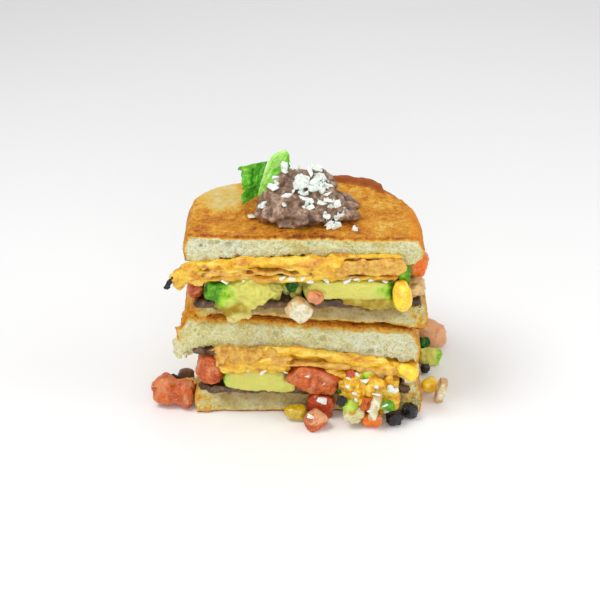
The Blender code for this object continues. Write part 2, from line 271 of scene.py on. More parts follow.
def scattered(mesh, count, seed, wanted):
    """Places spread over the faces whose normal is wanted, and the normals there."""
    chance = random.Random(seed)
    mesh.calc_loop_triangles()
    faces = [face for face in mesh.loop_triangles if wanted(face.normal)]
    for face in chance.choices(faces, [face.area for face in faces], k=count):
        a, b, c = (mesh.vertices[i].co for i in face.vertices)
        u, v = sorted((chance.random(), chance.random()))
        yield np.array(a * u + b * (v - u) + c * (1 - v)) / MM, np.array(face.normal)


def upright(normal):
    return abs(normal[2]) < 0.6


def off_the_cut(normal):
    return upright(normal) and normal[1] > -0.5


def heading(normal):
    """The angle that turns X to where the normal points over the ground."""
    return math.degrees(math.atan2(normal[1], normal[0]))


# Materials


def seen(red, green, blue):
    """A colour as it is seen, from 0 to 255, as the light that a shader takes."""
    values = np.array([red, green, blue]) / 255
    light = np.where(values <= 0.04045, values / 12.92, ((values + 0.055) / 1.055) ** 2.4)
    return (*light.tolist(), 1.0)


class Finish:
    """One material, built from nodes."""

    def __init__(self, name, depth=0.0, tint=(1.0, 0.5, 0.25), **settings):
        """Light goes depth millimetres into it, and comes out with this tint."""
        self.material = bpy.data.materials.new(name)
        self.material.use_nodes = True
        self.tree = self.material.node_tree
        self.surface = self.tree.nodes["Principled BSDF"]
        self.place = self.tree.nodes.new("ShaderNodeTexCoord").outputs["Object"]
        if depth:
            settings |= {"Subsurface_Weight": 0.3, "Subsurface_Radius": tint, "Subsurface_Scale": depth * MM}
        for name, value in settings.items():
            self.set(name.replace("_", " "), value)

    def link(self, node, key, value):
        """Gives an input of the node a constant value, or what comes out of another node."""
        if isinstance(value, bpy.types.NodeSocket):
            self.tree.links.new(value, node.inputs[key])
        else:
            node.inputs[key].default_value = value

    def set(self, name, value):
        self.link(self.surface, name, value)

    def node(self, kind, inputs, **settings):
        node = self.tree.nodes.new(kind)
        for name, value in settings.items():
            setattr(node, name, value)
        for key, value in inputs.items():
            self.link(node, key, value)
        return node

    def noise(self, size, detail=3.0, warp=0.0):
        inputs = {"Vector": self.place, "Scale": 1 / (size * MM), "Detail": detail, "Distortion": warp}
        return self.node("ShaderNodeTexNoise", inputs).outputs["Fac"]

    def cells(self, size, feature="F1"):
        inputs = {"Vector": self.place, "Scale": 1 / (size * MM)}
        return self.node("ShaderNodeTexVoronoi", inputs, feature=feature).outputs["Distance"]

    def mask(self, name, times=1.0):
        value = self.node("ShaderNodeAttribute", {}, attribute_name=name).outputs["Fac"]
        return value if times == 1.0 else self.product(value, times)

    def sum(self, a, b, times=1.0):
        """a + times * b"""
        return self.node("ShaderNodeMath", {0: b, 1: times, 2: a}, operation="MULTIPLY_ADD").outputs[0]

    def product(self, a, b):
        return self.node("ShaderNodeMath", {0: a, 1: b}, operation="MULTIPLY").outputs[0]

    def blend(self, a, b, share):
        """Two values weighted: share of b, and the rest of a."""
        return self.sum(self.product(a, 1 - share), b, share)

    def between(self, value, start, end, low=0.0, high=1.0):
        """low where value is at start and high where it is at end."""
        inputs = {"Value": value, "From Min": start, "From Max": end, "To Min": low, "To Max": high}
        return self.node("ShaderNodeMapRange", inputs, interpolation_type="SMOOTHSTEP").outputs["Result"]

    def uneven(self, value, by, reach):
        """The value, up to reach more or less as the noise by goes."""
        return self.sum(value, self.between(by, 0.3, 0.7, -reach, reach))

    def mix(self, share, a, b):
        """The colour a, with as much of b over it as share says. Either may be given as it is seen."""
        a, b = (seen(*c) if isinstance(c, tuple) else c for c in (a, b))
        return self.node("ShaderNodeMix", {0: share, 6: a, 7: b}, data_type="RGBA").outputs[2]

    def ramp(self, value, *stops):
        """A colour for the value. Each stop has its position, and its colour as it is seen."""
        node = self.node("ShaderNodeValToRGB", {"Fac": value})
        elements = node.color_ramp.elements
        while len(elements) < len(stops):
            elements.new(1.0)
        for element, (position, *colour) in zip(elements, stops):
            element.position = position
            element.color = seen(*colour)
        return node.outputs["Color"]

    def done(self, colour, roughness, height, depth):
        """The material. Its relief is finer than the mesh: height 0 to 1 stands for depth millimetres."""
        self.set("Base Color", colour)
        self.set("Roughness", roughness)
        bump = self.node("ShaderNodeBump", {"Height": height, "Distance": depth * MM})
        self.set("Normal", bump.outputs["Normal"])
        return self.material




def bread_finish():
    """Pale crumb, browning through gold to dark brown as the mask toast rises."""
    finish = Finish("bread", 1.0, Specular_IOR_Level=0.2)
    toast = finish.mask("toast")
    fine, broad, speck = finish.noise(0.8, 4), finish.noise(7.0, 3), finish.noise(1.9, 3, 0.5)
    tone = finish.blend(broad, fine, 0.55)
    crumb = finish.ramp(tone, (0.34, 180, 165, 94), (0.46, 210, 201, 136), (0.58, 224, 222, 176))
    patches = finish.between(finish.noise(9.0, 2), 0.45, 0.65, 0.0, 0.4)
    whiter = finish.sum(patches, finish.mask("white"), 0.55)
    crumb = finish.mix(finish.product(whiter, finish.between(fine, 0.3, 0.6)), crumb, (222, 226, 208))
    # the pores are darkened with painted shade
    crumb = finish.mix(finish.mask("pore", 0.5), crumb, (158, 138, 72))
    # darker tan where the filling stains the crumb, and painted shade under the filling
    crumb = finish.mix(finish.mask("soaked", 0.85), crumb, (150, 118, 66))
    browned = finish.ramp(
        finish.uneven(finish.uneven(toast, speck, 0.10), fine, 0.09),
        (0.10, 210, 192, 112), (0.30, 220, 178, 84), (0.50, 210, 146, 42),
        (0.66, 194, 118, 26), (0.82, 150, 82, 22), (1.00, 96, 50, 18),
    )
    browned = finish.mix(finish.mask("crust", 0.9), browned, (150, 72, 34))
    browned = finish.mix(finish.mask("glaze"), browned, (222, 128, 16))
    colour = finish.mix(finish.between(toast, 0.04, 0.28), crumb, browned)
    grain = finish.blend(fine, finish.noise(0.3, 2), 0.4)
    return finish.done(colour, finish.between(toast, 0.1, 0.9, 0.9, 0.5), grain, 0.4)


def cheese_finish():
    """Melted cheese: glossy, in streaks from pale yellow to orange, browned where the mask baked is, which on
    the curds also holds painted shade in the hollows between their crinkles.
    """
    finish = Finish("cheese", 1.5, (1.0, 0.55, 0.12), Coat_Weight=0.35, Coat_Roughness=0.15)
    fine = finish.noise(1.1, 3)
    flow = finish.node("ShaderNodeMapping", {"Vector": finish.place, "Scale": (0.45, 1.0, 1.5)})
    finish.place = flow.outputs["Vector"]
    streaks = finish.blend(finish.noise(4.0, 4, 0.6), fine, 0.25)
    melted = finish.ramp(
        streaks, (0.32, 194, 110, 4), (0.43, 222, 158, 12), (0.54, 238, 196, 36), (0.68, 244, 222, 116)
    )
    baked = finish.between(finish.sum(finish.mask("baked"), fine, 0.4), 0.5, 1.3, 0.0, 0.75)
    colour = finish.mix(baked, melted, (180, 106, 24))
    return finish.done(colour, finish.between(fine, 0.2, 0.8, 0.25, 0.55), fine, 0.2)


def tortilla_finish():
    finish = Finish("tortilla", 0.8)
    broad, fine, blisters = finish.noise(3.5, 4, 0.3), finish.noise(0.8, 4), finish.cells(3.2)
    tone = finish.blend(broad, fine, 0.4)
    colour = finish.ramp(tone, (0.32, 180, 114, 32), (0.46, 214, 160, 60), (0.60, 230, 190, 92))
    baked = finish.sum(finish.mask("baked"), finish.between(blisters, 0.5, 0.1), 0.35)
    fried = finish.between(baked, 0.4, 1.3)
    colour = finish.mix(fried, colour, (140, 78, 26))
    return finish.done(colour, finish.between(broad, 0.3, 0.7, 0.35, 0.6), finish.blend(fine, broad, 0.5), 0.3)


def beans_finish(name, dark, middle, light):
    finish = Finish(name, Coat_Weight=0.2, Coat_Roughness=0.3)
    fine, broad = finish.noise(0.9, 4), finish.noise(5.0, 3, 0.6)
    # lighter where the mask is high: on the dollop and the spreads, painted light on what stands out and
    # painted shade in the hollows
    tone = finish.sum(finish.blend(fine, broad, 0.5), finish.mask("raised"), 0.5)
    colour = finish.ramp(tone, (0.50, *dark), (0.74, *middle), (0.96, *light))
    return finish.done(colour, finish.between(fine, 0.2, 0.8, 0.35, 0.65), fine, 0.35)


def avocado_finish():
    """Yellow flesh, green towards the rim, and olive or creamy where those masks are; the olive is painted
    shade, on the undersides and in the broken creases.
    """
    finish = Finish("avocado", 1.5, (0.8, 1.0, 0.25), Specular_IOR_Level=0.35)
    fine, broad = finish.noise(0.9, 3), finish.noise(3.5, 3, 0.3)
    flesh = finish.ramp(
        finish.uneven(finish.uneven(finish.mask("rim"), broad, 0.16), fine, 0.08),
        (0.00, 216, 210, 104), (0.28, 202, 214, 102), (0.52, 178, 212, 66),
        (0.74, 122, 184, 24), (1.00, 66, 136, 12),
    )
    creamy = finish.mix(finish.mask("cream"), flesh, (218, 202, 124))
    # olive painted shade
    bruised = finish.product(finish.mask("bruised"), finish.between(broad, 0.25, 0.6, 0.5, 1.0))
    colour = finish.mix(bruised, creamy, (166, 134, 10))
    return finish.done(colour, finish.between(fine, 0.2, 0.8, 0.3, 0.6), finish.blend(fine, broad, 0.5), 0.3)


def tomato_finish():
    """Wet flesh with pale veins and fine pale flecks, the flecks being painted highlights. It is redder where
    the mask skin is, which on the dark tomato at the front is painted shade, and orange where ripe is.
    """
    finish = Finish("tomato", 1.8, (1.0, 0.3, 0.1), Coat_Weight=0.12, Coat_Roughness=0.3)
    finish.set("Specular IOR Level", 0.3)
    fine, broad = finish.noise(1.0, 3), finish.noise(4.5, 3, 0.8)
    flesh = finish.ramp(
        finish.blend(broad, fine, 0.35),
        (0.34, 150, 54, 18), (0.48, 200, 92, 34), (0.60, 216, 114, 50), (0.70, 228, 144, 80),
    )
    skin = finish.product(finish.between(finish.mask("skin"), 0.2, 0.8), 0.75)
    colour = finish.mix(skin, flesh, (178, 50, 14))
    veins = finish.product(finish.between(finish.noise(2.4, 2, 1.2), 0.64, 0.72), 0.45)
    colour = finish.mix(veins, colour, (238, 196, 150))
    ripe = finish.mix(finish.between(fine, 0.3, 0.7), (228, 98, 0), (242, 132, 20))
    colour = finish.mix(finish.mask("ripe", 0.9), colour, ripe)
    # fine pale flecks all over the flesh: painted highlights
    colour = finish.mix(finish.between(finish.noise(0.55, 2), 0.60, 0.70, 0.0, 0.5), colour, (240, 190, 140))
    colour = finish.mix(finish.mask("pale", 0.75), colour, (238, 188, 140))
    return finish.done(colour, finish.between(fine, 0.2, 0.8, 0.25, 0.5), fine, 0.3)


def corn_finish():
    finish = Finish("corn", 1.5, (1.0, 0.7, 0.12), Coat_Weight=0.6, Coat_Roughness=0.1)
    broad, fine = finish.noise(4.0, 2), finish.noise(1.0, 2)
    bright = finish.ramp(finish.blend(broad, fine, 0.3), (0.34, 242, 172, 8), (0.60, 255, 224, 46))
    dull = finish.ramp(fine, (0.36, 184, 146, 8), (0.60, 212, 184, 32))
    colour = finish.mix(finish.mask("dull"), bright, dull)
    return finish.done(finish.mix(finish.mask("foot"), colour, (226, 202, 132)), 0.3, fine, 0.1)


def onion_finish():
    finish = Finish("onion", 2.0, (1.0, 0.9, 0.6), Coat_Weight=0.35, Coat_Roughness=0.15)
    broad, fine = finish.noise(3.5, 3, 0.5), finish.noise(0.8, 2)
    tone = finish.blend(broad, fine, 0.3)
    colour = finish.ramp(tone, (0.34, 198, 178, 118), (0.46, 216, 206, 162), (0.58, 234, 232, 208))
    return finish.done(finish.mix(finish.mask("rim", 0.8), colour, (204, 150, 74)), 0.35, fine, 0.2)


def olive_finish():
    """Black, with wet highlights. The mask brown turns it into a bean."""
    finish = Finish("olive", Coat_Weight=0.4, Coat_Roughness=0.12, Specular_IOR_Level=0.3)
    fine = finish.noise(1.2, 3)
    colour = finish.ramp(fine, (0.35, 4, 4, 4), (0.65, 30, 26, 26))
    return finish.done(finish.mix(finish.mask("brown"), colour, (112, 84, 66)), 0.4, fine, 0.35)


def leaf_finish():
    """Green from dark to pale as the mask tone rises, with a net of veins and the ribs of the mask vein."""
    finish = Finish("leaf", 0.8, (0.4, 1.0, 0.1), Specular_IOR_Level=0.3)
    broad, fine = finish.noise(2.5, 3), finish.noise(0.6, 3)
    tone = finish.uneven(finish.mask("tone"), broad, 0.1)
    colour = finish.ramp(
        tone,
        (0.00, 28, 78, 16), (0.18, 44, 124, 6), (0.36, 72, 168, 0),
        (0.60, 112, 196, 30), (0.95, 186, 236, 120),
    )
    net = finish.between(finish.cells(1.7, "DISTANCE_TO_EDGE"), 0.10, 0.0, 0.0, 0.25)
    pale = finish.product(finish.sum(net, finish.mask("vein"), 0.6), finish.between(tone, 0.2, 0.6))
    colour = finish.mix(pale, colour, (214, 240, 176))
    return finish.done(colour, finish.between(fine, 0.2, 0.8, 0.35, 0.6), fine, 0.12)


def white_cheese_finish():
    finish = Finish("white_cheese", 0.8, (1.0, 1.0, 0.9))
    fine, broad = finish.noise(0.7, 3), finish.noise(3.0, 2)
    pale = finish.ramp(fine, (0.3, 216, 226, 216), (0.6, 242, 248, 244))
    colour = finish.mix(finish.between(broad, 0.55, 0.7, 0.0, 0.5), pale, (226, 214, 160))
    return finish.done(colour, 0.6, fine, 0.25)


def mash_finish():
    """Avocado, cheese and beans chopped and pressed together: the masks say which is where."""
    finish = Finish("mash", 1.0, (1.0, 0.8, 0.3), Coat_Weight=0.2, Coat_Roughness=0.3)
    fine, broad = finish.noise(0.9, 4), finish.noise(3.0, 3, 0.8)
    tone = finish.blend(broad, fine, 0.4)
    colour = finish.ramp(tone, (0.36, 178, 150, 50), (0.50, 206, 190, 88), (0.62, 226, 214, 128))
    for mask, dark, light in (
        ("green", (122, 156, 36), (188, 208, 96)),
        ("orange", (196, 122, 24), (236, 184, 60)),
        ("brown", (92, 62, 36), (150, 112, 76)),
        ("cream", (206, 184, 126), (236, 226, 190)),
    ):
        share = finish.between(finish.uneven(finish.mask(mask), broad, 0.25), 0.35, 0.65)
        colour = finish.mix(share, colour, finish.ramp(tone, (0.4, *dark), (0.6, *light)))
    return finish.done(colour, finish.between(fine, 0.2, 0.8, 0.3, 0.6), fine, 0.35)


FINISHES = {
    "bread": bread_finish(),
    "cheese": cheese_finish(),
    "tortilla": tortilla_finish(),
    "beans": beans_finish("beans", (76, 50, 32), (134, 102, 78), (190, 162, 138)),
    "crushed_beans": beans_finish("crushed_beans", (132, 88, 40), (190, 144, 80), (226, 190, 128)),
    "spread": beans_finish("bean_spread", (58, 36, 18), (104, 72, 42), (144, 108, 76)),
    "filling": mash_finish(),
    "avocado": avocado_finish(),
    "tomato": tomato_finish(),
    "corn": corn_finish(),
    "onion": onion_finish(),
    "olive": olive_finish(),
    "leaf": leaf_finish(),
    "white_cheese": white_cheese_finish(),
}
MADE = {}  # the mesh of each piece, in the order of making


def piece(name, mesh, slot, finish=None, nodes=(), smooth=True):
    """A finished piece of the sandwich, which stands for the CAD nodes named."""
    mesh.materials.clear()
    mesh.materials.append(FINISHES[finish or slot])
    if smooth:
        mesh.shade_smooth()
    else:
        mesh.shade_flat()
    obj = shown(name, mesh)
    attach(obj, "root")
    if nodes:
        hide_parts(*nodes)
    MADE[name] = mesh


# Bread


def crumb_pores(points, seed):
    """How deep the pores of a cut crumb are, in millimetres, and how much painted shade darkens them inside."""
    flat = points * (1, 1, 1.2)
    wide = pits(flat, 4.4, seed, 0.06)
    small = pits(flat, 2.1, seed + 1, 0.25)
    tiny = pits(flat, 1.15, seed + 2, 0.65)
    return 1.2 * wide + 0.6 * small + 0.4 * tiny, 0.8 * wide + 0.35 * small + 0.35 * tiny


def slice_of_bread(half, grilled, seed, cell, hang, worn, burnt, soaked, white, extra, reshape, browning):
    """One half slice, made of cells of that size. grilled is 1 if its upper face was grilled, and -1 if its
    lower face was. Along the cut its other face hangs out in blobs of crumb, as far as hang says, and its
    grilled edge is worn back and burnt; on the slice over the seam that darker edge is also painted shade of
    the gap. soaked says how far the filling stains the crumb and how much painted shade lies under the
    filling, and the crumb gets whiter along X from the first to the second place in white. extra are lumps of
    crumb that hang on to it. reshape and browning change where its points are and how toasted they are."""
    core = cad_mesh(half + "_bread")
    mesh = evenly(joined(core, lumps(extra)), cell)
    mesh = refine(mesh, points_of(mesh)[:, 1] < CUT + 1.2)
    relax(mesh, 9, 0.5 - 0.42 * ramp(points_of(mesh)[:, 1], CUT + 2.5, CUT + 0.8))
    points = points_of(mesh)
    to_grill = distance_to(core, lambda n: n.z * grilled > 0.6, points)
    to_inside = distance_to(core, lambda n: n.z * grilled < -0.6, points)
    to_side = distance_to(core, lambda n: upright(n) and n.y > -0.6, points)
    to_cut = distance_to(core, lambda n: n.y < -0.6, points)
    at_cut = ramp(to_cut, 4.0, 0.5)
    ragged = 1.2 * rough(points * (1, 0.3, 0), 6.0, seed + 9)
    ragged += 0.5 * waves(points * (1, 0.5, 0), 1.9, seed + 14)
    blobs = np.maximum(0.1 + ragged, -0.5)
    points[:, 2] -= grilled * hang * blobs * ramp(to_inside, 6.0, 0.5) * at_cut
    points[:, 1] += 0.6 * waves(points, 9.0, seed + 10) * ramp(to_cut, 3.0, 0.0)
    wear = worn * (1 + 0.5 * rough(points * (1, 0, 0), 8.0, seed + 13))
    points[:, 1] += wear * ramp(to_grill, 1.2 + worn, 0.2) * at_cut
    points = reshape(points, to_side)
    move_points(mesh, points)

    browned = ramp(to_grill + 0.5 * waves(points, 2.6, seed), 1.7, 0.3)
    browned = np.maximum(browned, ramp(to_side, 1.6, 0.3))
    crumb = 1 - browned
    rows = np.flatnonzero((crumb > 0.05) & (to_cut < 6))
    deep, dark = np.zeros((2, len(points)))
    # how deep the pores are, and the painted shade inside them
    deep[rows], dark[rows] = crumb_pores(points[rows], seed)
    dents = pits(points * (1, 1, 0.4), 5.0, seed + 3, 0.35, 0.5) * browned
    bumps = 0.6 * rough(points, 2.4, seed + 4) + 0.4 * waves(points, 6.0, seed + 16) - deep
    skin = 0.30 * waves(points, 9.0, seed + 5) + 0.16 * rough(points, 1.7, seed + 6)
    swell(mesh, crumb * bumps - 0.35 * dents + browned * skin)

    level = 0.54 + 0.17 * rough(points, 13.0, seed + 7) + 0.15 * rough(points, 3.6, seed + 8, 2) - 0.15 * dents
    near_cut = ramp(to_cut, 3.0, 0.5)
    through = 1.7 + 0.9 * worn * near_cut
    toast = ramp(to_grill + 0.8 * waves(points, 2.6, seed), through, 0.2) * level
    # the edge at the cut is burnt darker; on the slice over the seam this is also painted shade of the gap
    toast += burnt * ramp(to_grill, 1.4, 0.4) * near_cut
    crusty = ramp(to_side, 1.9, 0.2) * (0.52 + 0.2 * rough(points, 5.0, seed + 11))
    toast = np.maximum(toast, crusty)
    toast, crust, glaze = browning(points, toast, to_side)
    # the stain of the filling on the crumb, with painted shade along the face under it
    stain_and_shade = soaked * ramp(to_inside + 3.0 * waves(points, 5.0, seed + 12), 13.0, 1.0)
    stain_and_shade *= 1 - 0.8 * ramp(abs(points[:, 0] - 2) + 3.0 * waves(points, 4.0, seed + 17), 41, 48)
    pale = ramp(points[:, 0] + 8 * waves(points, 14.0, seed + 15), *white)
    paint(mesh, toast=toast, pore=dark * crumb, crust=crust, glaze=glaze, soaked=stain_and_shade, white=pale)
    piece("bread_" + half, mesh, "bread", nodes=[half + "_bread"])


def raised_crust(points, to_side):
    """Lifts the crust at the back right above the grilled face, ending in a step."""
    x = points[:, 0]
    lift = ramp(to_side, 3.8, 2.6) * ramp(x, 2, 12) * ramp(x, 38.5, 37.0) * ramp(points[:, 2], 89, 94)
    return shifted(points, z=(1.4 + 0.04 * x + 0.7 * waves(points, 6.0, 56)) * lift)


def top_browning(points, toast, to_side):
    """The grilled top: a pale patch at the back left, light streaks on the right, a dark rim of crust at the
    back and an orange one on the right."""
    x, y, z = points[:, 0], points[:, 1] - CUT, points[:, 2]
    wander = 4 * rough(points, 12.0, 50)
    pale = ramp(np.hypot((x + 39 + wander) / 14, (y - 46 + 1.3 * wander) / 22), 1.15, 0.6)
    streaks = ramp(waves(points * (1, 1, 0), (15, 5, 10), 52), 0.05, 0.5) * ramp(x, 0, 20) * ramp(y, 18, 32)
    shade = ramp(np.hypot((x - 2) / 36, (y - 22) / 24), 1.2, 0.7)
    shade = shade + 0.4 * ramp(y, 12, 3) + 0.4 * ramp(x, -20, -40)
    toast = toast * (1 - 0.58 * pale) - 0.13 * streaks + 0.10 * shade * (1 - pale) * (toast > 0.3)
    high = ramp(z + 3 * waves(points, 7.0, 60), 87, 93)
    crust = ramp(to_side, 2.6, 0.8) * high * ramp(y, 30, 50) * ramp(x, -24, 8)
    crust *= 0.6 + 0.5 * rough(points, 8.0, 53)
    lip = ramp(to_side + 0.8 * waves(points, 4.0, 51), 4.4, 3.2) * ramp(x, 0, 6)
    lip *= ramp(x, 40, 38.5) * (y > 20)
    lip *= np.maximum(ramp(z, 95.5, 97.0), 0.7 * high * ramp(x + 8 * waves(points, 6.0, 61), 46, 30))
    glaze = ramp(to_side + waves(points, 6.0, 54), 5.0, 1.5) * ramp(x, 38, 50) * ramp(y, 36, 24)
    return toast, np.maximum(crust, lip), 0.6 * glaze * ramp(z, 89, 93)


def lumpy_ends(points, to_side):
    ends = ramp(abs(points[:, 0] - 3), 42, 50) * ramp(points[:, 1] - CUT, 8, 2)
    return shifted(points, y=(1.8 * rough(points, 5.0, 58) - 0.8) * ends)


def toasted_ends(points, toast, to_side):
    """Both ends of a pressed slice, browned in patches where the filling has fried on them."""
    patches = ramp(rough(points, 4.0, 57), -0.25, 0.4) * ramp(abs(points[:, 0] - 3), 42, 50)
    return np.maximum(toast, 0.42 * patches), 0 * toast, 0 * toast


def torn_end(points, to_side):
    """Pulls the left end of the slice out and makes it ragged."""
    reach = ramp(points[:, 0], -48, -60) * ramp(points[:, 1] - CUT, 18, 6)
    shift = 2.0 * rough(points, 4.5, 55)
    return shifted(points, x=(-1.0 - shift) * reach, z=1.2 * shift * reach)


def torn_browning(points, toast, to_side):
    """The torn flap is bare crumb."""
    bare = ramp(points[:, 2] + 2 * waves(points, 4.0, 59), 43, 39) * ramp(points[:, 1] - CUT, 14, 8)
    return toast * (1 - bare * ramp(points[:, 0], -46, -50)), 0 * toast, 0 * toast


HANGING = spots(  # crumb that hangs from both ends of the top slice at the cut
    (-50.0, 3.0, 85.0, 4.6, 3.0, 3.4, 0, 8, 0), (-44.0, 2.8, 84.8, 4.4, 2.8, 2.6, 0, -8, 0),
    (50.5, 3.0, 84.6, 3.8, 3.0, 2.6, 0, 0, 0),
)
SQUEEZED = spots(  # the ends of the slice under the upper filling
    (-48.6, 2.2, 54.4, 4.4, 3.6, 5.0, 0, -12, 0), (52.4, 2.4, 57.6, 5.0, 4.2, 4.2, 0, 20, 0),
    (54.6, 3.6, 51.6, 3.6, 4.4, 4.6, 0, 0, 0), (47.4, 2.6, 55.0, 3.2, 3.4, 3.4, 0, 0, 0),
)
TORN = spots(  # the ragged flap of crumb at the left of the lower half's upper slice, and a blob on the right
    (-57.5, 5.0, 37.0, 4.4, 5.0, 5.0, 0, 16, 0), (-59.6, 4.0, 33.0, 2.4, 4.0, 3.6, 0, 30, 10),
    (-55.4, 4.6, 32.6, 3.0, 4.4, 3.0, 0, -20, 0), (-52.0, 5.0, 34.6, 3.6, 4.4, 2.6, 0, 0, 0),
    (27.0, 2.4, 31.6, 8.0, 2.8, 2.4, 0, 8, 0),
)
RAISED = spots(  # the right end of the bottom slice
    (50.6, 3.0, 12.6, 4.8, 4.0, 4.2, 0, 12, 0), (45.6, 2.6, 11.4, 3.4, 3.4, 2.6, 0, 0, 0),
)
YELLOW = (90, 99)  # beyond the end of the bread


def loaf():
    slice_of_bread("upper_top", 1, 1, 0.62, 3.6, 0.6, 0.16, 0.0, (-8, -34), HANGING, raised_crust, top_browning)
    # its burnt edge at the seam is darker, with painted shade of the gap
    slice_of_bread("upper_bottom", -1, 2, 0.8, 2.2, 3.2, 0.5, 1.0, YELLOW, SQUEEZED, lumpy_ends, toasted_ends)
    slice_of_bread("lower_top", 1, 3, 0.8, 3.2, 2.0, 0.16, 0.0, (0, 30), TORN, torn_end, torn_browning)
    slice_of_bread("lower_bottom", -1, 4, 0.8, 1.5, 0.6, 0.3, 0.9, YELLOW, RAISED, lumpy_ends, toasted_ends)


# Cheese, tortilla and spreads


def drips(node, count, seed, out, along, tall, drop):
    """Lumps all along the sides of a layer. out, along and tall are the most that they measure, and drop is
    how low they may hang."""
    chance = random.Random(seed)
    for place, normal in scattered(cad_mesh(node), count, seed, off_the_cut):
        size = [limit * chance.uniform(0.45, 1.0) for limit in (out, along, tall)]
        place[2] -= drop * chance.uniform(0.2, 1.0)
        yield place, size, (0, 0, heading(normal))


def runs(*rows):
    """Lumps in rows along the cut, to be run together. Each row has x and z of its start and of its end, its
    depth from the cut, how far out and how tall its lumps are, and its seed."""
    for x_start, z_start, x_end, z_end, deep, out, tall, seed in rows:
        chance = random.Random(seed)
        count = max(2, round(abs(x_end - x_start) / 3.0))
        for i in range(count):
            t = (i + chance.uniform(0.1, 0.9)) / count
            x = x_start + (x_end - x_start) * t
            z = z_start + (z_end - z_start) * t + 0.35 * tall * noise.noise((x / 8, seed, 0))
            size = (chance.uniform(2.8, 6.8), out * chance.uniform(0.6, 1.1), tall * chance.uniform(0.7, 1.1))
            yield (x, CUT + deep + chance.uniform(-0.4, 0.4), z), size, (0, chance.uniform(-9, 9), 0)


def heap(low, high, sizes, count, chance):
    """Lumps strewn through a box between two corners (x, depth from the cut, z). sizes are their least and
    greatest half sizes."""
    for _ in range(count):
        x, deep, z = (chance.uniform(a, b) for a, b in zip(low, high))
        size = [chance.uniform(*sizes) for _ in range(3)]
        yield (x, CUT + deep, z), size, [chance.uniform(0, 180) for _ in range(3)]


def sheet(places, columns, rows):
    """A mesh over a grid of places, which are given row by row within each column."""
    wide = rows + 1
    corners = [i * wide + k for i in range(columns) for k in range(rows)]
    return mesh_of(places, [(j, j + wide, j + wide + 1, j + 1) for j in corners])


def frill(x_start, z_start, x_end, z_end, deep, seed, thick, sway):
    """A thin wavy strip along the cut, from one x and z to another. Its edge stands deep in front of it."""
    columns, rows = round(abs(x_end - x_start) / 0.6), 14
    t = np.repeat(np.arange(columns + 1) / columns, rows + 1)
    y = np.tile(CUT + 8 - (8 + deep) * np.arange(rows + 1) / rows, columns + 1)
    points = np.stack([x_start + (x_end - x_start) * t, y, z_start + (z_end - z_start) * t], axis=1)
    front = ramp(y, CUT + 6, CUT - deep)
    swung, curled = waves(points * (1, 0.25, 0), 7.0, seed), waves(points, 2.5, seed + 1)
    points[:, 2] += sway * front * swung + 0.4 * front * curled
    points[:, 1] += 1.3 * front * waves(points * (1, 0, 0), 5.0, seed + 2)
    return modified(sheet(points, columns, rows), "SOLIDIFY", thickness=thick * MM, offset=0.0)


def soft_layer(name, node, cell, seed, lumpy, steps, size, *extras, finish=None):
    """A layer of the sandwich, run together with whatever has come out of it, and its surface made uneven."""
    mesh = evenly(joined(cad_mesh(node), *extras), cell, steps)
    points = points_of(mesh)
    bumps = rough(points, size, seed)
    swell(mesh, lumpy * (bumps + 0.8 * waves(points, np.asarray(size) * 2.3, seed + 1)))
    baked = ramp(rough(points, 4.0, seed + 2), 0.20, 0.75) + 0.5 * ramp(points[:, 0], -30, -52)
    # on the spreads this paints light on the bumps
    paint(mesh, baked=baked, raised=0.3 + 0.5 * bumps)
    piece(name, mesh, SLOT_OF[node], finish, [node])


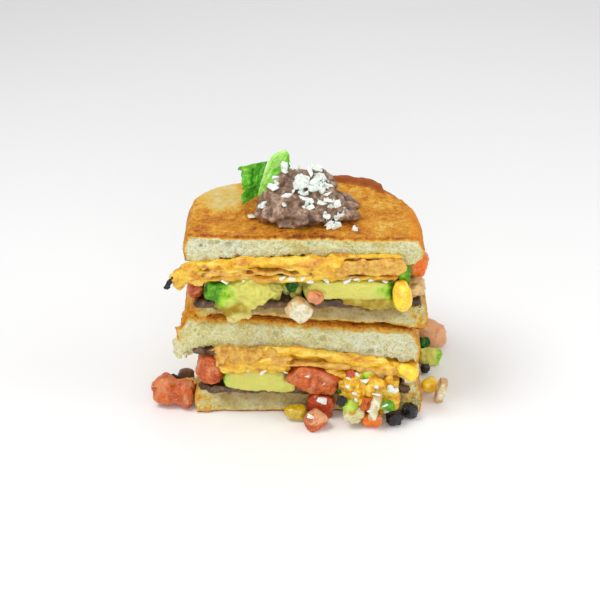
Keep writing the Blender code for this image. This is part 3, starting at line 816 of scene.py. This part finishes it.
def layers():
    melted = [
        *drips("upper_cheese", 80, 60, 2.6, 6.0, 2.6, 1.5),
        *runs(
            (-51, 82.4, -26, 83.6, -1.4, 2.2, 2.6, 61), (-34, 84.0, -2, 85.0, -2.2, 2.6, 3.4, 62),
            (-8, 84.6, 16, 84.2, -3.0, 2.8, 4.3, 63), (14, 87.4, 43, 87.0, -1.0, 1.6, 1.3, 64),
            (-54, 76.4, -22, 76.6, -2.4, 2.2, 1.9, 65), (-22, 76.2, 4, 76.4, -2.8, 2.2, 1.9, 66),
            (4, 76.6, 40, 76.6, -2.0, 1.6, 1.5, 82),
        ),
        *heap((6, -3.4, 75.0), (44, -1, 77.6), (0.7, 1.6), 30, random.Random(85)),
        *spots(
            (-33.0, -2.6, 80.4, 5.4, 2.0, 2.8, 0, 0, 0), (4.0, -3.6, 80.6, 8.2, 2.2, 3.4, 0, 6, 0),
            (11.0, -3.4, 80.0, 4.0, 2.0, 3.0, 0, 0, 0),
        ),
    ]
    soft_layer("cheese_upper", "upper_cheese", 0.6, 10, 0.45, 11, (4.6, 3.0, 1.9), lumps(melted))
    melted = [
        *drips("lower_cheese", 80, 67, 2.6, 6.0, 2.4, 1.5),
        *runs(
            (-20, 36.6, -2, 36.4, -2.2, 2.2, 3.2, 69), (-2, 35.4, 14, 34.2, -1.8, 2.2, 2.6, 68),
            (10, 33.2, 36, 30.0, -2.4, 2.4, 3.4, 70), (34, 27.8, 51, 26.0, -2.2, 2.6, 3.6, 71),
            (-38, 30.0, -14, 29.4, -2.0, 2.4, 3.4, 72), (-36, 26.4, -12, 26.2, -1.6, 2.2, 2.8, 81),
        ),
        *heap((-39, -4.2, 26.5), (-8, -1.5, 33.0), (1.0, 3.0), 36, random.Random(87)),
        *runs((12, 25.0, 30, 23.0, -3.0, 2.4, 2.6, 83)),
    ]
    soft_layer("cheese_lower", "lower_cheese", 0.6, 11, 0.45, 10, (4.0, 2.6, 1.9), lumps(melted))
    soft_layer(
        "tortilla_upper", "upper_tortilla", 0.5, 12, 0.35, 4, 2.6,
        frill(-48, 79.2, 44, 79.8, 5.0, 73, 1.5, 1.5),
        frill(-48, 81.2, -22, 81.4, 4.0, 74, 1.4, 1.6),
        frill(18, 84.2, 44, 83.8, 3.6, 75, 1.4, 0.9),
        lumps(runs((18, 83.0, 43, 82.6, -2.6, 2.2, 4.0, 76))),
        lumps(heap((18, -4.2, 80.5), (43, -3, 85.5), (0.7, 2.2), 26, random.Random(86))),
    )
    soft_layer(
        "tortilla_lower", "lower_tortilla", 0.5, 13, 0.35, 3, 2.6,
        frill(-42, 34.6, -6, 34.0, 4.6, 77, 1.3, 2.0),
        lumps(heap((-42, -4.4, 30.0), (-10, 0, 38.0), (0.8, 2.6), 90, random.Random(88))),
        frill(-14, 29.8, 22, 30.0, 5.2, 78, 1.5, 1.3),
        frill(16, 28.6, 48, 23.8, 4.2, 79, 1.5, 1.3),
        lumps(runs((12, 29.6, 45, 25.0, -3.6, 2.0, 1.9, 89))),
        lumps(heap((30, -5.4, 24.0), (46, -3, 27.6), (0.7, 2.0), 18, random.Random(92))),
        lumps(runs((-42, 36.0, -14, 36.0, -1.4, 1.8, 2.6, 84))),
    )
    for half, z, seed in (("upper", 61.6, 14), ("lower", 13.8, 15)):
        node = half + "_beans"
        smears = [*drips(node, 60, seed + 70, 1.6, 5.0, 1.6, 0.6), *runs((-48, z, 50, z, -0.2, 1.8, 2.2, seed))]
        soft_layer("spread_" + half, node, 0.6, seed, 0.4, 5, 2.6, lumps(smears), finish="spread")


# Filling


KINDS = {"green": 0.28, "orange": 0.22, "brown": 0.10, "cream": 0.14, "plain": 0.26}  # the share of each


def mash(node, front, seed, count=260):
    """The chopped core of the filling, heaped up to the cut between its larger pieces. front gives the
    corners of the box that the heap fills there."""
    chance = random.Random(seed)
    chopped = []
    for place, normal in scattered(cad_mesh(node), count, seed, off_the_cut):
        size = [chance.uniform(1.6, 4.2) for _ in range(3)]
        angles = [chance.uniform(0, 180) for _ in range(3)]
        chopped.append((place - normal * chance.uniform(0.0, 2.0), size, angles))
    chopped += heap(*front, (1.6, 3.6), count, chance)
    mesh = evenly(joined(cad_mesh(node), lumps(chopped, SMALL_BALL)), 0.7, 2)
    tree = KDTree(len(chopped))
    for i, (place, _, _) in enumerate(chopped):
        tree.insert(place, i)
    tree.balance()
    kinds = chance.choices(list(KINDS), list(KINDS.values()), k=len(chopped))
    points = points_of(mesh)
    nearest = np.array([kinds[tree.find(place)[1]] for place in points.tolist()])
    swell(mesh, 0.5 * rough(points, 2.6, seed))
    paint(mesh, **{kind: nearest == kind for kind in KINDS if kind != "plain"})
    piece("mash_" + node[:5], mesh, "filling", nodes=[node])


def in_front(normal):
    return normal[1] < -0.2 or normal[2] > 0.6


HOSTS = (  # what bits stick in, the share of them that it gets, and where on it
    ("upper_filling", 1.0, off_the_cut),
    ("lower_filling", 1.0, off_the_cut),
    ("cheese_spill", 0.5, in_front),
)


def bits(name, slot, count, sizes, shape, seed, sunk=0.3, finish=None, **masks):
    """Bits of one kind stuck in the sides and the back of the filling, and a few in the spill. sizes are
    their least and greatest half sizes along, across and through, and sunk is how deep they are stuck."""
    chance = random.Random(seed)
    stuck = []
    for host, share, wanted in HOSTS:
        for place, normal in scattered(cad_mesh(host), round(count * share), seed + len(stuck), wanted):
            size = np.array([chance.uniform(low, high) for low, high in sizes])
            tilts = [chance.uniform(-70, 70), chance.uniform(-70, 70)]
            angles = [*tilts, heading(normal) + chance.uniform(-40, 40)]
            stuck.append((place + normal * (1.2 + size.min() * (1 - 2 * sunk)), size, angles))
    mesh = lumps(stuck, shape)
    points = points_of(mesh)
    least = min(low for low, _ in sizes)
    swell(mesh, 0.10 * least * rough(points, 2.0, seed) + 0.12 * waves(points, 4.0, seed + 1))
    paint(mesh, **{mask: level(points) for mask, level in masks.items()})
    piece(name, mesh, slot, finish)


def chopped_sides():
    bits("tomato_bits", "tomato", 9, ((2.4, 5.0), (2.2, 4.0), (2.0, 3.4)), DICE, 200,
         skin=lambda p: ramp(waves(p, 9.0, 201), 0.0, 0.3))
    bits("avocado_bits", "avocado", 9, ((3.0, 6.0), (2.4, 4.0), (2.0, 3.2)), DICE, 210,
         rim=lambda p: 0.4 + 0.7 * waves(p, 7.0, 211))
    bits("corn_bits", "corn", 10, ((2.4, 3.4), (2.2, 3.0), (2.8, 4.0)), block(0.0, 0.25), 220)
    bits("onion_bits", "onion", 9, ((2.0, 4.6), (1.6, 3.0), (0.7, 1.3)), DICE, 230)
    bits("olive_bits", "olive", 5, ((1.8, 3.2), (1.5, 2.8), (0.9, 1.8)), BALL, 240)
    bits("herb_bits", "leaf", 12, ((1.2, 2.8), (0.9, 2.2), (0.25, 0.45)), SMALL_BALL, 250, 0.0,
         tone=lambda p: 0.2 + 0.3 * waves(p, 3.0, 251))
    bits("cheese_crumbs", "cheese", 22, ((1.0, 2.6), (0.9, 2.0), (0.7, 1.4)), SMALL_BALL, 260, 0.1,
         "white_cheese")


# Pieces


SOURCES = {  # pieces that are built up from lumps: the shape of the lumps, and a row for each, as for spots
    "onion_upper": (block(0.7), (-2.6, -5.2, 61.0, 6.0, 3.2, 5.4, 0, 42, 6)),
    "corn_upper": (block(0.25, 0.3), (45.0, -4.2, 70.4, 4.4, 3.2, 7.8, -12, -8, 0)),
    "avocado_upper_end": (DICE, (46.4, 1.8, 77.0, 2.6, 4.0, 5.2, 0, 10, 0)),
    "avocado_lower": (
        DICE, (-24.4, 4.0, 19.4, 15.4, 7.4, 5.8, 0, 2, 0), (-13.0, 3.6, 16.6, 9.0, 7.0, 3.8, 0, 5, 0),
    ),
    "tomato_lower_middle": (DICE, (4.0, 1.0, 21.0, 12.6, 7.2, 7.4, 0, 9, 0)),
    "avocado_upper_left": (  # the chunks that a soft piece has broken into
        DICE,
        (-40.5, -1.0, 69.5, 6.5, 5.0, 4.6, 0, 6, 4), (-28.0, -1.6, 71.0, 8.5, 5.0, 4.8, 10, -12, -4),
        (-18.0, -1.6, 71.6, 8.0, 4.6, 4.6, 6, -16, 10), (-12.5, -0.5, 72.5, 5.0, 4.0, 3.4, 0, -30, 10),
        (-24.0, -3.0, 66.0, 8.0, 3.8, 4.4, -12, -34, 0), (-36.0, -2.4, 64.0, 6.4, 4.4, 3.8, 8, 14, 0),
        (-31.5, -3.4, 58.8, 6.4, 3.2, 3.8, -8, -16, 6), (-27.0, 7.0, 68.0, 17.0, 7.0, 7.0, 0, 0, 0),
    ),
    "avocado_upper_right": (
        DICE,
        (35.0, -1.2, 62.8, 8.5, 3.4, 2.5, 0, -4, 0), (26.0, -0.8, 63.4, 6.0, 3.4, 1.9, 0, 8, 0),
        (10.0, 1.0, 70.0, 9.0, 5.0, 4.8, 0, 4, 2), (24.0, 0.0, 70.0, 11.0, 5.0, 5.2, 6, 2, -2),
        (34.0, 0.5, 69.6, 6.5, 4.8, 5.0, 0, 8, 4), (28.0, 0.6, 65.4, 11.0, 4.6, 3.4, 0, -4, 0),
        (5.0, 2.0, 68.0, 6.0, 4.0, 3.6, 0, -18, 8), (19.0, 8.0, 69.5, 20.0, 6.5, 6.0, 0, 0, 0),
    ),
    "cheese_corner": (  # the flap of cheese that has run out at the left
        block(0.35),
        (-53.6, -3.0, 81.2, 4.4, 2.6, 3.2, 0, -24, 10), (-57.6, -4.6, 78.6, 3.2, 2.4, 3.4, 0, -34, 20),
        (-58.2, -5.4, 75.2, 1.8, 2.0, 2.8, 0, -12, 20), (-52.6, -3.4, 76.6, 5.0, 2.2, 2.2, 0, 12, 0),
        (-47.0, -2.4, 77.6, 5.0, 2.2, 2.8, 0, 14, 0), (-60.4, -7.4, 79.4, 1.6, 1.8, 2.0, 0, 0, 0),
        (-49.4, -3.4, 74.6, 2.2, 1.6, 1.6, 0, 0, 0), (-53.4, -1.4, 78.2, 5.4, 4.2, 3.0, 0, -10, 14),
        (-56.2, -4.6, 78.0, 5.8, 2.6, 3.2, 0, -24, 18),
    ),
}


def hewn(points, seed, cuts):
    """The points of a chunk with its corners and sides cut off by random planes."""
    chance = random.Random(seed)
    low, high = points.min(axis=0), points.max(axis=0)
    half = (high - low) / 2
    places = (points - low) / half - 1
    for _ in range(cuts):
        normal = np.array([chance.gauss(0, 1) for _ in range(3)])
        normal /= np.linalg.norm(normal)
        over = np.maximum(places @ normal - chance.uniform(0.86, 1.12), 0)
        places = places - over[:, None] * normal
    return (places + 1) * half + low


def fleshy(node, seed, cell, lumpy, size, fine, steps=4, cuts=0):
    """A piece as a fine mesh with uneven flesh, its points, and how far along its box they are, 0 to 1."""
    shape, *rows = SOURCES.get(node, (None,))
    mesh = evenly(lumps(spots(*rows), shape) if rows else cad_mesh(node), cell)
    if cuts:
        move_points(mesh, hewn(points_of(mesh), seed, cuts))
    relax(mesh, steps)
    points = points_of(mesh)
    swell(mesh, lumpy * rough(points, size, seed, 2) + fine * rough(points, 1.2, seed + 1))
    low, high = points.min(axis=0), points.max(axis=0)
    return mesh, points, (points - low) / (high - low)


def tomato(node, seed):
    """A wedge of tomato with skin over one side of it."""
    mesh, points, share = fleshy(node, seed, 0.42, 1.0, 5.5, 0.25, cuts=7)
    if node == "tomato_fallen":
        waist = 0.22 * np.exp(-(((share[:, 0] - 0.58) / 0.14) ** 2))
        points = points_of(mesh)
        move_points(mesh, points + (points.mean(axis=0) - points) * waist[:, None] * (0, 1, 1))
    side = np.array(Vector(random.Random(seed).choices((-1, 1), k=3)).normalized())
    whole = np.ones(len(points))
    skin = 0.7 * ramp(values_of(mesh, "normal") @ side + 0.3 * waves(points, 5.0, seed + 3), 0.55, 0.85)
    pale = 0.5 * ramp(waves(points, 6.0, seed + 2), 0.0, 0.5)
    if node == "tomato_front_dark":
        # the dark tomato at the front gets the skin red all over: painted shade
        skin = whole
    elif node == "tomato_lower_middle":
        skin = ramp(share[:, 0] + share[:, 2], 1.35, 1.6)
    elif node == "tomato_front":
        pale = ramp(share[:, 2] + 0.2 * waves(points, 4.0, seed), 0.4, 0.7)
    elif node in ("tomato_right", "tomato_upper_middle"):
        pale = whole * (0.95 if node == "tomato_right" else 0.55)
    ripe = whole * (node in ("tomato_front_right", "tomato_upper_right"))
    paint(mesh, skin=skin, pale=pale * (1 - skin), ripe=ripe)
    return mesh


def corn(node, seed):
    mesh, points, share = fleshy(node, seed, 0.32, 0.25, 4.0, 0.03)
    paint(mesh, foot=0.6 * ramp(share[:, 2], 0.15, 0.0), dull=np.full(len(points), node == "corn_front"))
    return mesh


def onion(node, seed):
    """A wedge of onion, ridged along its layers and cooked brown round its edge."""
    mesh, points, share = fleshy(node, seed, 0.36, 0.3, 4.0, 0.08, cuts=4)
    swell(mesh, 0.10 * np.sin(points[:, 0] * 2.4 + points[:, 2] * 1.3))
    middle = np.hypot((share[:, 0] - 0.5) * 2, (share[:, 2] - 0.5) * 2)
    paint(mesh, rim=ramp(middle + 0.3 * waves(points, 3.0, seed), 0.6, 0.95))
    return mesh


def olive(node, seed):
    """A slice of olive, shrivelled into creases, or a bean."""
    mesh, points, _ = fleshy(node, seed, 0.32, 0.4, 3.0, 0.1, cuts=4)
    swell(mesh, -0.7 * creased(points, 3.2, seed + 2))
    paint(mesh, brown=np.full(len(points), node == "bean_fallen"))
    return mesh


def herb(node, seed):
    mesh, points, _ = fleshy(node, seed, 0.3, 0.7, 2.2, 0.15)
    swell(mesh, 0.5 * creased(points, 3.0, seed + 2))
    vein = 0.5 * ramp(creased(points, 3.0, seed + 2, 1), 0.7, 1.0)
    paint(mesh, tone=0.02 + 0.2 * waves(points, 2.0, seed), vein=vein)
    return mesh


RIMS = {  # where the green rim is: the axis, where along it the rim starts, and where it is greenest
    "avocado_upper_left": (0, 0.46, 0.10),
    "avocado_lower": (0, 0.20, -0.1),
    "avocado_upper_right": (0, 0.72, 1.0),
    "avocado_right": (0, 0.5, 1.3),
    "avocado_upper_end": (0, -1.4, 1.2),
    "avocado_front": (0, -1.0, 0.8),
    "avocado_lower_side": (2, 0.75, 1.05),
}


def avocado(node, seed):
    """Soft flesh, smooth where it was cut and chunky where it broke."""
    cut = node in ("avocado_lower", "avocado_upper_right")
    mesh, points, share = fleshy(node, seed, 0.45, 0.45 if cut else 1.0, 4.0, 0.25, cuts=0 if cut else 5)
    broken = ramp(creased(points, 7.0, seed + 5), 0.45, 0.8) * (node == "avocado_upper_left")
    swell(mesh, -0.7 * broken)
    wander = 0.10 * waves(points, 6.0, seed)
    axis, start, end = RIMS[node]
    rim = ramp(share[:, axis] + wander, start, end)
    bruised = cream = np.zeros(len(points))
    if node == "avocado_upper_left":
        cream = ramp(share[:, 2] + wander, 0.26, 0.14)
        # the lower part of the slab, under its overhang, is painted olive shade
        bruised = ramp(share[:, 2] + wander, 0.52, 0.40) * (1 - cream) * ramp(share[:, 0], 0.62, 0.45)
        rim = rim * (1 - cream)
    elif node == "avocado_upper_right":
        # the underside is painted olive shade
        bruised = ramp(points[:, 2] + 8 * wander, 67.0, 65.0) * ramp(share[:, 0], 0.25, 0.45)
    elif node == "avocado_lower":
        rim = np.maximum(rim, 0.7 * ramp(share[:, 0] + 0.7 * share[:, 2], 0.42, 0.16))
    # painted shade in the broken creases as well
    bruised = np.maximum(bruised, 0.35 * broken * (1 - rim))
    cream = np.maximum(cream, 0.8 * ramp(rough(points, 4.0, seed + 4), 0.35, 0.7) * (1 - rim))
    paint(mesh, rim=rim, bruised=bruised, cream=cream)
    return mesh


def cheese(node, seed):
    """A curd of melted cheese, crinkled as it cooled. The spill has run over what lies in it."""
    corner = node == "cheese_corner"
    if node == "cheese_spill":
        chance = random.Random(seed)
        curds = []
        for place, _ in scattered(cad_mesh(node), 70, seed, lambda n: n[1] < -0.2 or n[2] > 0.5):
            size = [chance.uniform(1.2, 3.4) for _ in range(3)]
            curds.append((place, size, (0, chance.uniform(0, 180), 0)))
        mesh = evenly(joined(cad_mesh(node), lumps(curds)), 0.42, 2)
        points = points_of(mesh)
    else:
        mesh, points, _ = fleshy(node, seed, 0.4, 0.6, 4.5, 0.2, 16 if corner else 4)
    creases = creased(points, 5.0, seed + 2)
    swell(mesh, 0.8 * creases)
    baked = 0.5 * corner + ramp(rough(points, 3.0, seed), 0.3, 0.9)
    # the hollows between the crinkles are darkened too: painted shade
    paint(mesh, baked=baked + 0.8 * ramp(creases, 0.25, -0.2))
    return mesh


def bean_mash(node, seed):
    mesh, points, _ = fleshy(node, seed, 0.42, 0.8, 3.0, 0.35)
    paint(mesh, raised=0.9 + 0.4 * rough(points, 2.5, seed))
    return mesh


def crumb(node, seed):
    mesh, points, _ = fleshy(node, seed, 0.3, 0.8, 3.5, 0.2)
    deep, dark = crumb_pores(points, seed)
    swell(mesh, -0.6 * deep)
    # the pores are darkened with painted shade
    paint(mesh, toast=0.45 * ramp(waves(points, 5.0, seed), 0.1, 0.5), pore=dark)
    return mesh


def crisp(node, seed):
    mesh, points, _ = fleshy(node, seed, 0.3, 0.6, 3.0, 0.15)
    paint(mesh, baked=ramp(rough(points, 2.5, seed), 0.0, 0.6))
    return mesh


MAKERS = {
    "tomato": tomato, "corn": corn, "onion": onion, "olive": olive, "leaf": herb,
    "avocado": avocado, "cheese": cheese, "beans": bean_mash, "bread": crumb, "tortilla": crisp,
}


def smear():
    """Bean mash pressed up between the lower left tomato and the slice over it."""
    pressed = spots(
        (-50.0, 0.6, 35.6, 4.6, 3.4, 2.0, 0, 8, 0), (-43.4, 1.0, 35.4, 4.6, 3.2, 1.8, 0, -6, 0),
        (-38.0, 1.0, 33.0, 2.4, 2.6, 2.6, 0, 0, 0),
    )
    mesh = evenly(lumps(pressed), 0.42, 2)
    points = points_of(mesh)
    swell(mesh, 0.7 * rough(points, 2.4, 90))
    paint(mesh, raised=0.3 + 0.3 * rough(points, 2.0, 91))
    piece("bean_smear", mesh, "beans", "spread")


def chunks():
    """Every CAD piece that is neither a layer nor a topping, and a smear of bean mash."""
    smear()
    for seed, (node, slot) in enumerate(sorted(SLOT_OF.items()), start=100):
        if not node.startswith(("upper_", "lower_")) and node not in ("bean_dollop", "garnish_leaf"):
            finish = "crushed_beans" if slot == "beans" else None
            piece(node, MAKERS[slot](node, seed), slot, finish, [node])


# Toppings


def bean_dollop():
    """Mashed beans dropped from a spoon, in rolls and creases with smears at the foot."""
    rolled = spots(
        (-6.0, 30.0, 110.5, 9.0, 8.0, 6.0, 0, 10, 20), (7.0, 31.0, 109.0, 9.0, 8.0, 6.0, 0, 24, -20),
        (-10.0, 23.0, 106.0, 10.0, 9.0, 7.0, 0, -12, 10), (8.0, 22.0, 104.5, 11.0, 9.0, 6.5, 0, 14, -10),
        (-13.0, 15.5, 101.0, 10.5, 6.5, 5.2, 0, -6, -16), (1.0, 12.0, 100.5, 9.0, 6.0, 4.4, 0, 6, 8),
        (17.0, 21.0, 99.4, 10.0, 7.5, 3.6, 0, 14, 14),
    )
    mesh = evenly(joined(cad_mesh("bean_dollop"), lumps(rolled)), 0.5, 3)
    points = points_of(mesh)
    sways = [waves(points, size, seed) for size, seed in ((11.0, 60), (11.0, 61), (9.0, 62))]
    bent = points + 3.5 * np.stack(sways, axis=1)
    rolls, curds = creased(bent * (1, 1, 1.4), 13.0, 63), rough(points, 2.6, 64)
    clumps = creased(points, 4.2, 66)
    height = 2.8 * rolls - 1.8 + 0.5 * curds + 0.9 * clumps - 0.9 * pits(points, 4.5, 65, 0.3)
    low = points[:, 2].min()
    swell(mesh, height * ramp(points[:, 2], low + 0.3, low + 2.5))
    # painted light on the rolls and clumps, and painted shade in the hollows between them
    paint(mesh, raised=0.6 * rolls + 0.35 * curds + 0.5 * clumps)
    piece("bean_mound", mesh, "beans", nodes=["bean_dollop"])


# The outlines of the herb leaf, from its foot to its tip, as shares of its box's width and height
LEFT_EDGE = ((0.06, 0.00), (0.03, 0.12), (0.09, 0.22), (0.06, 0.42), (0.07, 0.60), (0.00, 0.70))
RIB = (
    (0.38, 0.12), (0.42, 0.30), (0.47, 0.45), (0.52, 0.60),
    (0.57, 0.73), (0.66, 0.88), (0.80, 0.96), (0.95, 1.00),
)
RIGHT_EDGE = ((0.46, 0.12), (0.60, 0.27), (0.72, 0.44), (0.84, 0.55), (0.95, 0.62), (1.00, 0.78), (0.98, 0.95))


def along(outline, share):
    """The places at these shares of the way along a line of points."""
    line = np.array(outline)
    reached = np.concatenate([[0], np.cumsum(np.linalg.norm(np.diff(line, axis=0), axis=1))])
    return np.stack([np.interp(share * reached[-1], reached, column) for column in line.T], axis=1)


def lobe(edge, rib, back, seed, veined, shade, cells=44):
    """Half a leaf, as a sheet between its edge and its rib. back is how far back these two stand, as shares
    of its box's depth, and veined how pale its veins are. shade gives its tone across it, from the edge."""
    low, high = (np.array(corner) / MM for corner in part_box("garnish_leaf"))
    up = np.linspace(0, 1, cells + 1)
    outer, inner = along(edge, up), along(rib, up)
    outer += 0.055 * rough(np.outer(up, (30, 0, 0)), 2.4, seed)[:, None] * (1, 0.7)
    share = up[:, None, None]
    flat = (outer * (1 - share) + inner * share).reshape(-1, 2)
    across, rise = np.repeat(up, cells + 1), np.tile(up, cells + 1)
    depth = back[0] + (back[1] - back[0]) * across**0.8 + 0.10 * np.sin(rise * 9 + seed) * (1 - across)
    points = low + (high - low) * np.stack([flat[:, 0], depth, flat[:, 1]], axis=1)
    bent = rise * 6 + across * 2.2 + 0.5 * waves(points, 5.0, seed + 7)
    vein = ramp(abs(bent % 1 - 0.5), 0.38, 0.49) * ramp(across, 0.1, 0.5)
    vein = np.maximum(0.7 * vein, ramp(across, 0.90, 0.99))
    points[:, 1] += 1.3 * waves(points, 4.5, seed) + 0.9 * creased(points, 4.0, seed + 5) + 0.3 * vein
    points[:, 1] -= 6.5 * (1 - rise)
    mesh = sheet(points, cells, cells)
    streaks = 0.25 * rough(np.stack([14 * across, 3 * rise, 0 * rise + seed], axis=1), 1.6, 8, 2)
    paint(mesh, vein=vein * veined, tone=streaks + shade(across))
    return mesh


def leaf():
    """A herb leaf folded along its rib: the left lobe is in shade and the right one folds forward over it."""
    left = lobe(LEFT_EDGE, RIB[:5], (0.25, 0.85), 1, 0.4, lambda across: 0.36 + 0.3 * ramp(across, 0.35, 0.0))
    right = lobe(RIGHT_EDGE, RIB, (0.10, 0.80), 2, 0.9, lambda across: 0.54 + 0.35 * across)
    mesh = modified(joined(left, right), "SOLIDIFY", thickness=0.5 * MM, offset=0.0)
    piece("herb_leaf", mesh, "leaf", nodes=["garnish_leaf"])


CRUMBLED = (  # heaps of white cheese: x and depth from the cut, how far it spreads, and how many crumbs
    (-4, 31, 3.0, 8), (5, 33, 2.0, 6), (-2, 23, 4.0, 16), (-1, 19, 4.5, 16), (6, 26, 4.0, 12),
    (9, 22, 4.0, 8), (1, 15, 3.5, 9), (12, 13, 3.6, 22), (16, 15, 3.0, 8), (-20, 17, 3.5, 6),
    (-12, 23, 4.0, 5), (-10, 14, 1.0, 2), (22, 8, 2.0, 3), (3, 24, 18.0, 10),
)
AT_THE_CUT = (  # crumbs of it under the cheese and on the spill: x, z and half size
    (-6, 77.0, 2.6), (2, 75.6, 2.6), (15, 75.2, 2.4), (20, 75.6, 2.8), (-37, 75.4, 2.6), (-28, 75.8, 1.6),
    (21, 24.0, 2.0), (29, 23.0, 3.2), (34, 20.5, 2.4), (42, 19.5, 2.8), (47, 20.5, 2.6), (24, 17.0, 1.8),
    (8, 11.0, 3.0), (38, 14.0, 2.0), (3, 8.5, 2.2), (1, 25.0, 1.3), (9, 20.5, 1.4), (-20, 26.5, 2.2),
    (-10, 26.0, 1.8), (-28, 27.0, 1.8), (31, 12.0, 1.6), (19, 12.5, 1.8), (-18, 13.4, 1.8), (24, 76.0, 2.2),
    (31, 75.8, 1.9), (-10, 77.4, 2.0), (10, 75.6, 2.2), (37, 75.4, 1.8), (-1, 77.4, 1.6), (44, 23.5, 1.8),
)


ABOVE = 140.0  # the height that crumbs are dropped from, clear of the toppings
BEFORE = 60  # how far in front of the cut crumbs are thrown at it from, clear of what sticks out


def shard(chance):
    """The points and faces of an angular crumb, about the origin and 1 across each way."""
    bm = bmesh.new()
    for _ in range(12):
        bm.verts.new([chance.uniform(-1, 1) for _ in range(3)])
    bmesh.ops.convex_hull(bm, input=bm.verts)
    bmesh.ops.delete(bm, geom=[v for v in bm.verts if not v.link_faces])
    bmesh.ops.bevel(bm, geom=list(bm.edges) + list(bm.verts), offset=0.09, segments=1, affect="EDGES")
    bmesh.ops.triangulate(bm, faces=bm.faces)
    return arrays_of(bm)


def white_cheese():
    """Dry cheese crumbled over the toppings, each crumb where it lands on them, and pressed on to the cut."""
    chance = random.Random(300)
    below = BVHTree.FromBMesh(bmesh_of(MADE["bean_mound"], MADE["bread_upper_top"]))
    crumbs = []
    for x, deep, spread, count in CRUMBLED:
        for _ in range(count):
            size = 1.0 + 2.7 * chance.random() ** 1.3
            start = (chance.gauss(x, spread / 2), CUT + chance.gauss(deep, spread / 2), ABOVE)
            landed, normal, _, _ = below.ray_cast(Vector(start) * MM, Vector((0, 0, -1)))
            if landed:
                half = (size, size * chance.uniform(0.5, 0.9), size * chance.uniform(0.35, 0.6))
                angles = (chance.gauss(0, 30), chance.gauss(0, 30), chance.uniform(0, 360))
                centre = np.array(landed + normal * 0.35 * size * MM) / MM
                crumbs.append(lumps([(centre, half, angles)], shard(chance)))
    mesh = joined(*crumbs)
    swell(mesh, 0.08 * rough(points_of(mesh), 1.5, 301))
    front = BVHTree.FromBMesh(bmesh_of(*MADE.values()))
    piece("white_cheese", mesh, "cheese", "white_cheese", smooth=False)
    crumbs = []
    for x, z, size in AT_THE_CUT:
        landed, normal, _, _ = front.ray_cast(Vector((x, CUT - BEFORE, z)) * MM, Vector((0, 1, 0)))
        if landed:
            half = (size, size * 0.55, size * chance.uniform(0.4, 0.6))
            angles = (0, chance.uniform(-35, 35), chance.uniform(-20, 20))
            centre = np.array(landed + normal * 0.1 * size * MM) / MM
            crumbs.append(lumps([(centre, half, angles)], shard(chance)))
    piece("white_cheese_inside", joined(*crumbs), "cheese", "white_cheese", smooth=False)


# Stage


def facing(way):
    """The turn of a camera or a lamp that looks that way."""
    return way.to_track_quat("-Z", "Y").to_euler()


def camera_and_light():
    """The camera at the front, looking down on the cut, and soft light from above on a pale floor."""
    target = Vector((0.0, CUT * MM + 0.020, 0.048))
    elevation, distance = math.radians(30), 0.730
    lens = bpy.data.cameras.new("camera")
    lens.lens = 90
    lens.sensor_width = 36
    lens.shift_x, lens.shift_y = -1 / 120, 7 / 600  # how far the view is moved, as shares of its width
    camera = shown("camera", lens)
    back = Vector((0, -math.cos(elevation), math.sin(elevation)))
    camera.location = target + back * distance
    camera.rotation_euler = facing(-back)
    bpy.context.scene.camera = camera

    reach = 3000
    corners = [(-reach, -reach, 0), (reach, -reach, 0), (reach, reach, 0), (-reach, reach, 0)]
    floor = shown("floor", mesh_of(corners, [(0, 1, 2, 3)]))
    paper = Finish("floor", Roughness=0.9)
    paper.set("Base Color", paper.ramp(paper.noise(300.0, 2), (0.0, 246, 246, 246), (1.0, 250, 250, 250)))
    floor.data.materials.append(paper.material)

    world = bpy.data.worlds.new("studio")
    world.use_nodes = True
    background = world.node_tree.nodes["Background"].inputs
    background["Color"].default_value = (1, 1, 1, 1)
    background["Strength"].default_value = 0.45
    bpy.context.scene.world = world
    for name, place, size, power in (
        ("key", (-0.36, -0.16, 0.75), 0.35, 3.1),
        ("side", (0.60, -0.10, 0.42), 0.50, 1.4),
        ("front", (0.05, -0.80, 0.35), 0.50, 2.2),
        ("rear", (0.15, 0.60, 0.70), 0.60, 1.0),
    ):
        lamp = bpy.data.lights.new(name, "AREA")
        lamp.size = size
        lamp.energy = power
        obj = shown(name, lamp)
        obj.location = place
        obj.rotation_euler = facing(target - obj.location)
    bpy.context.scene.view_settings.view_transform = "Standard"


loaf()
layers()
mash("upper_filling", ((-46, 1, 63.5), (44, 17, 75.5)), 20)
mash("lower_filling", ((-34, 1, 15.5), (44, 17, 22.5)), 21)
chopped_sides()
chunks()
bean_dollop()
leaf()
white_cheese()
camera_and_light()
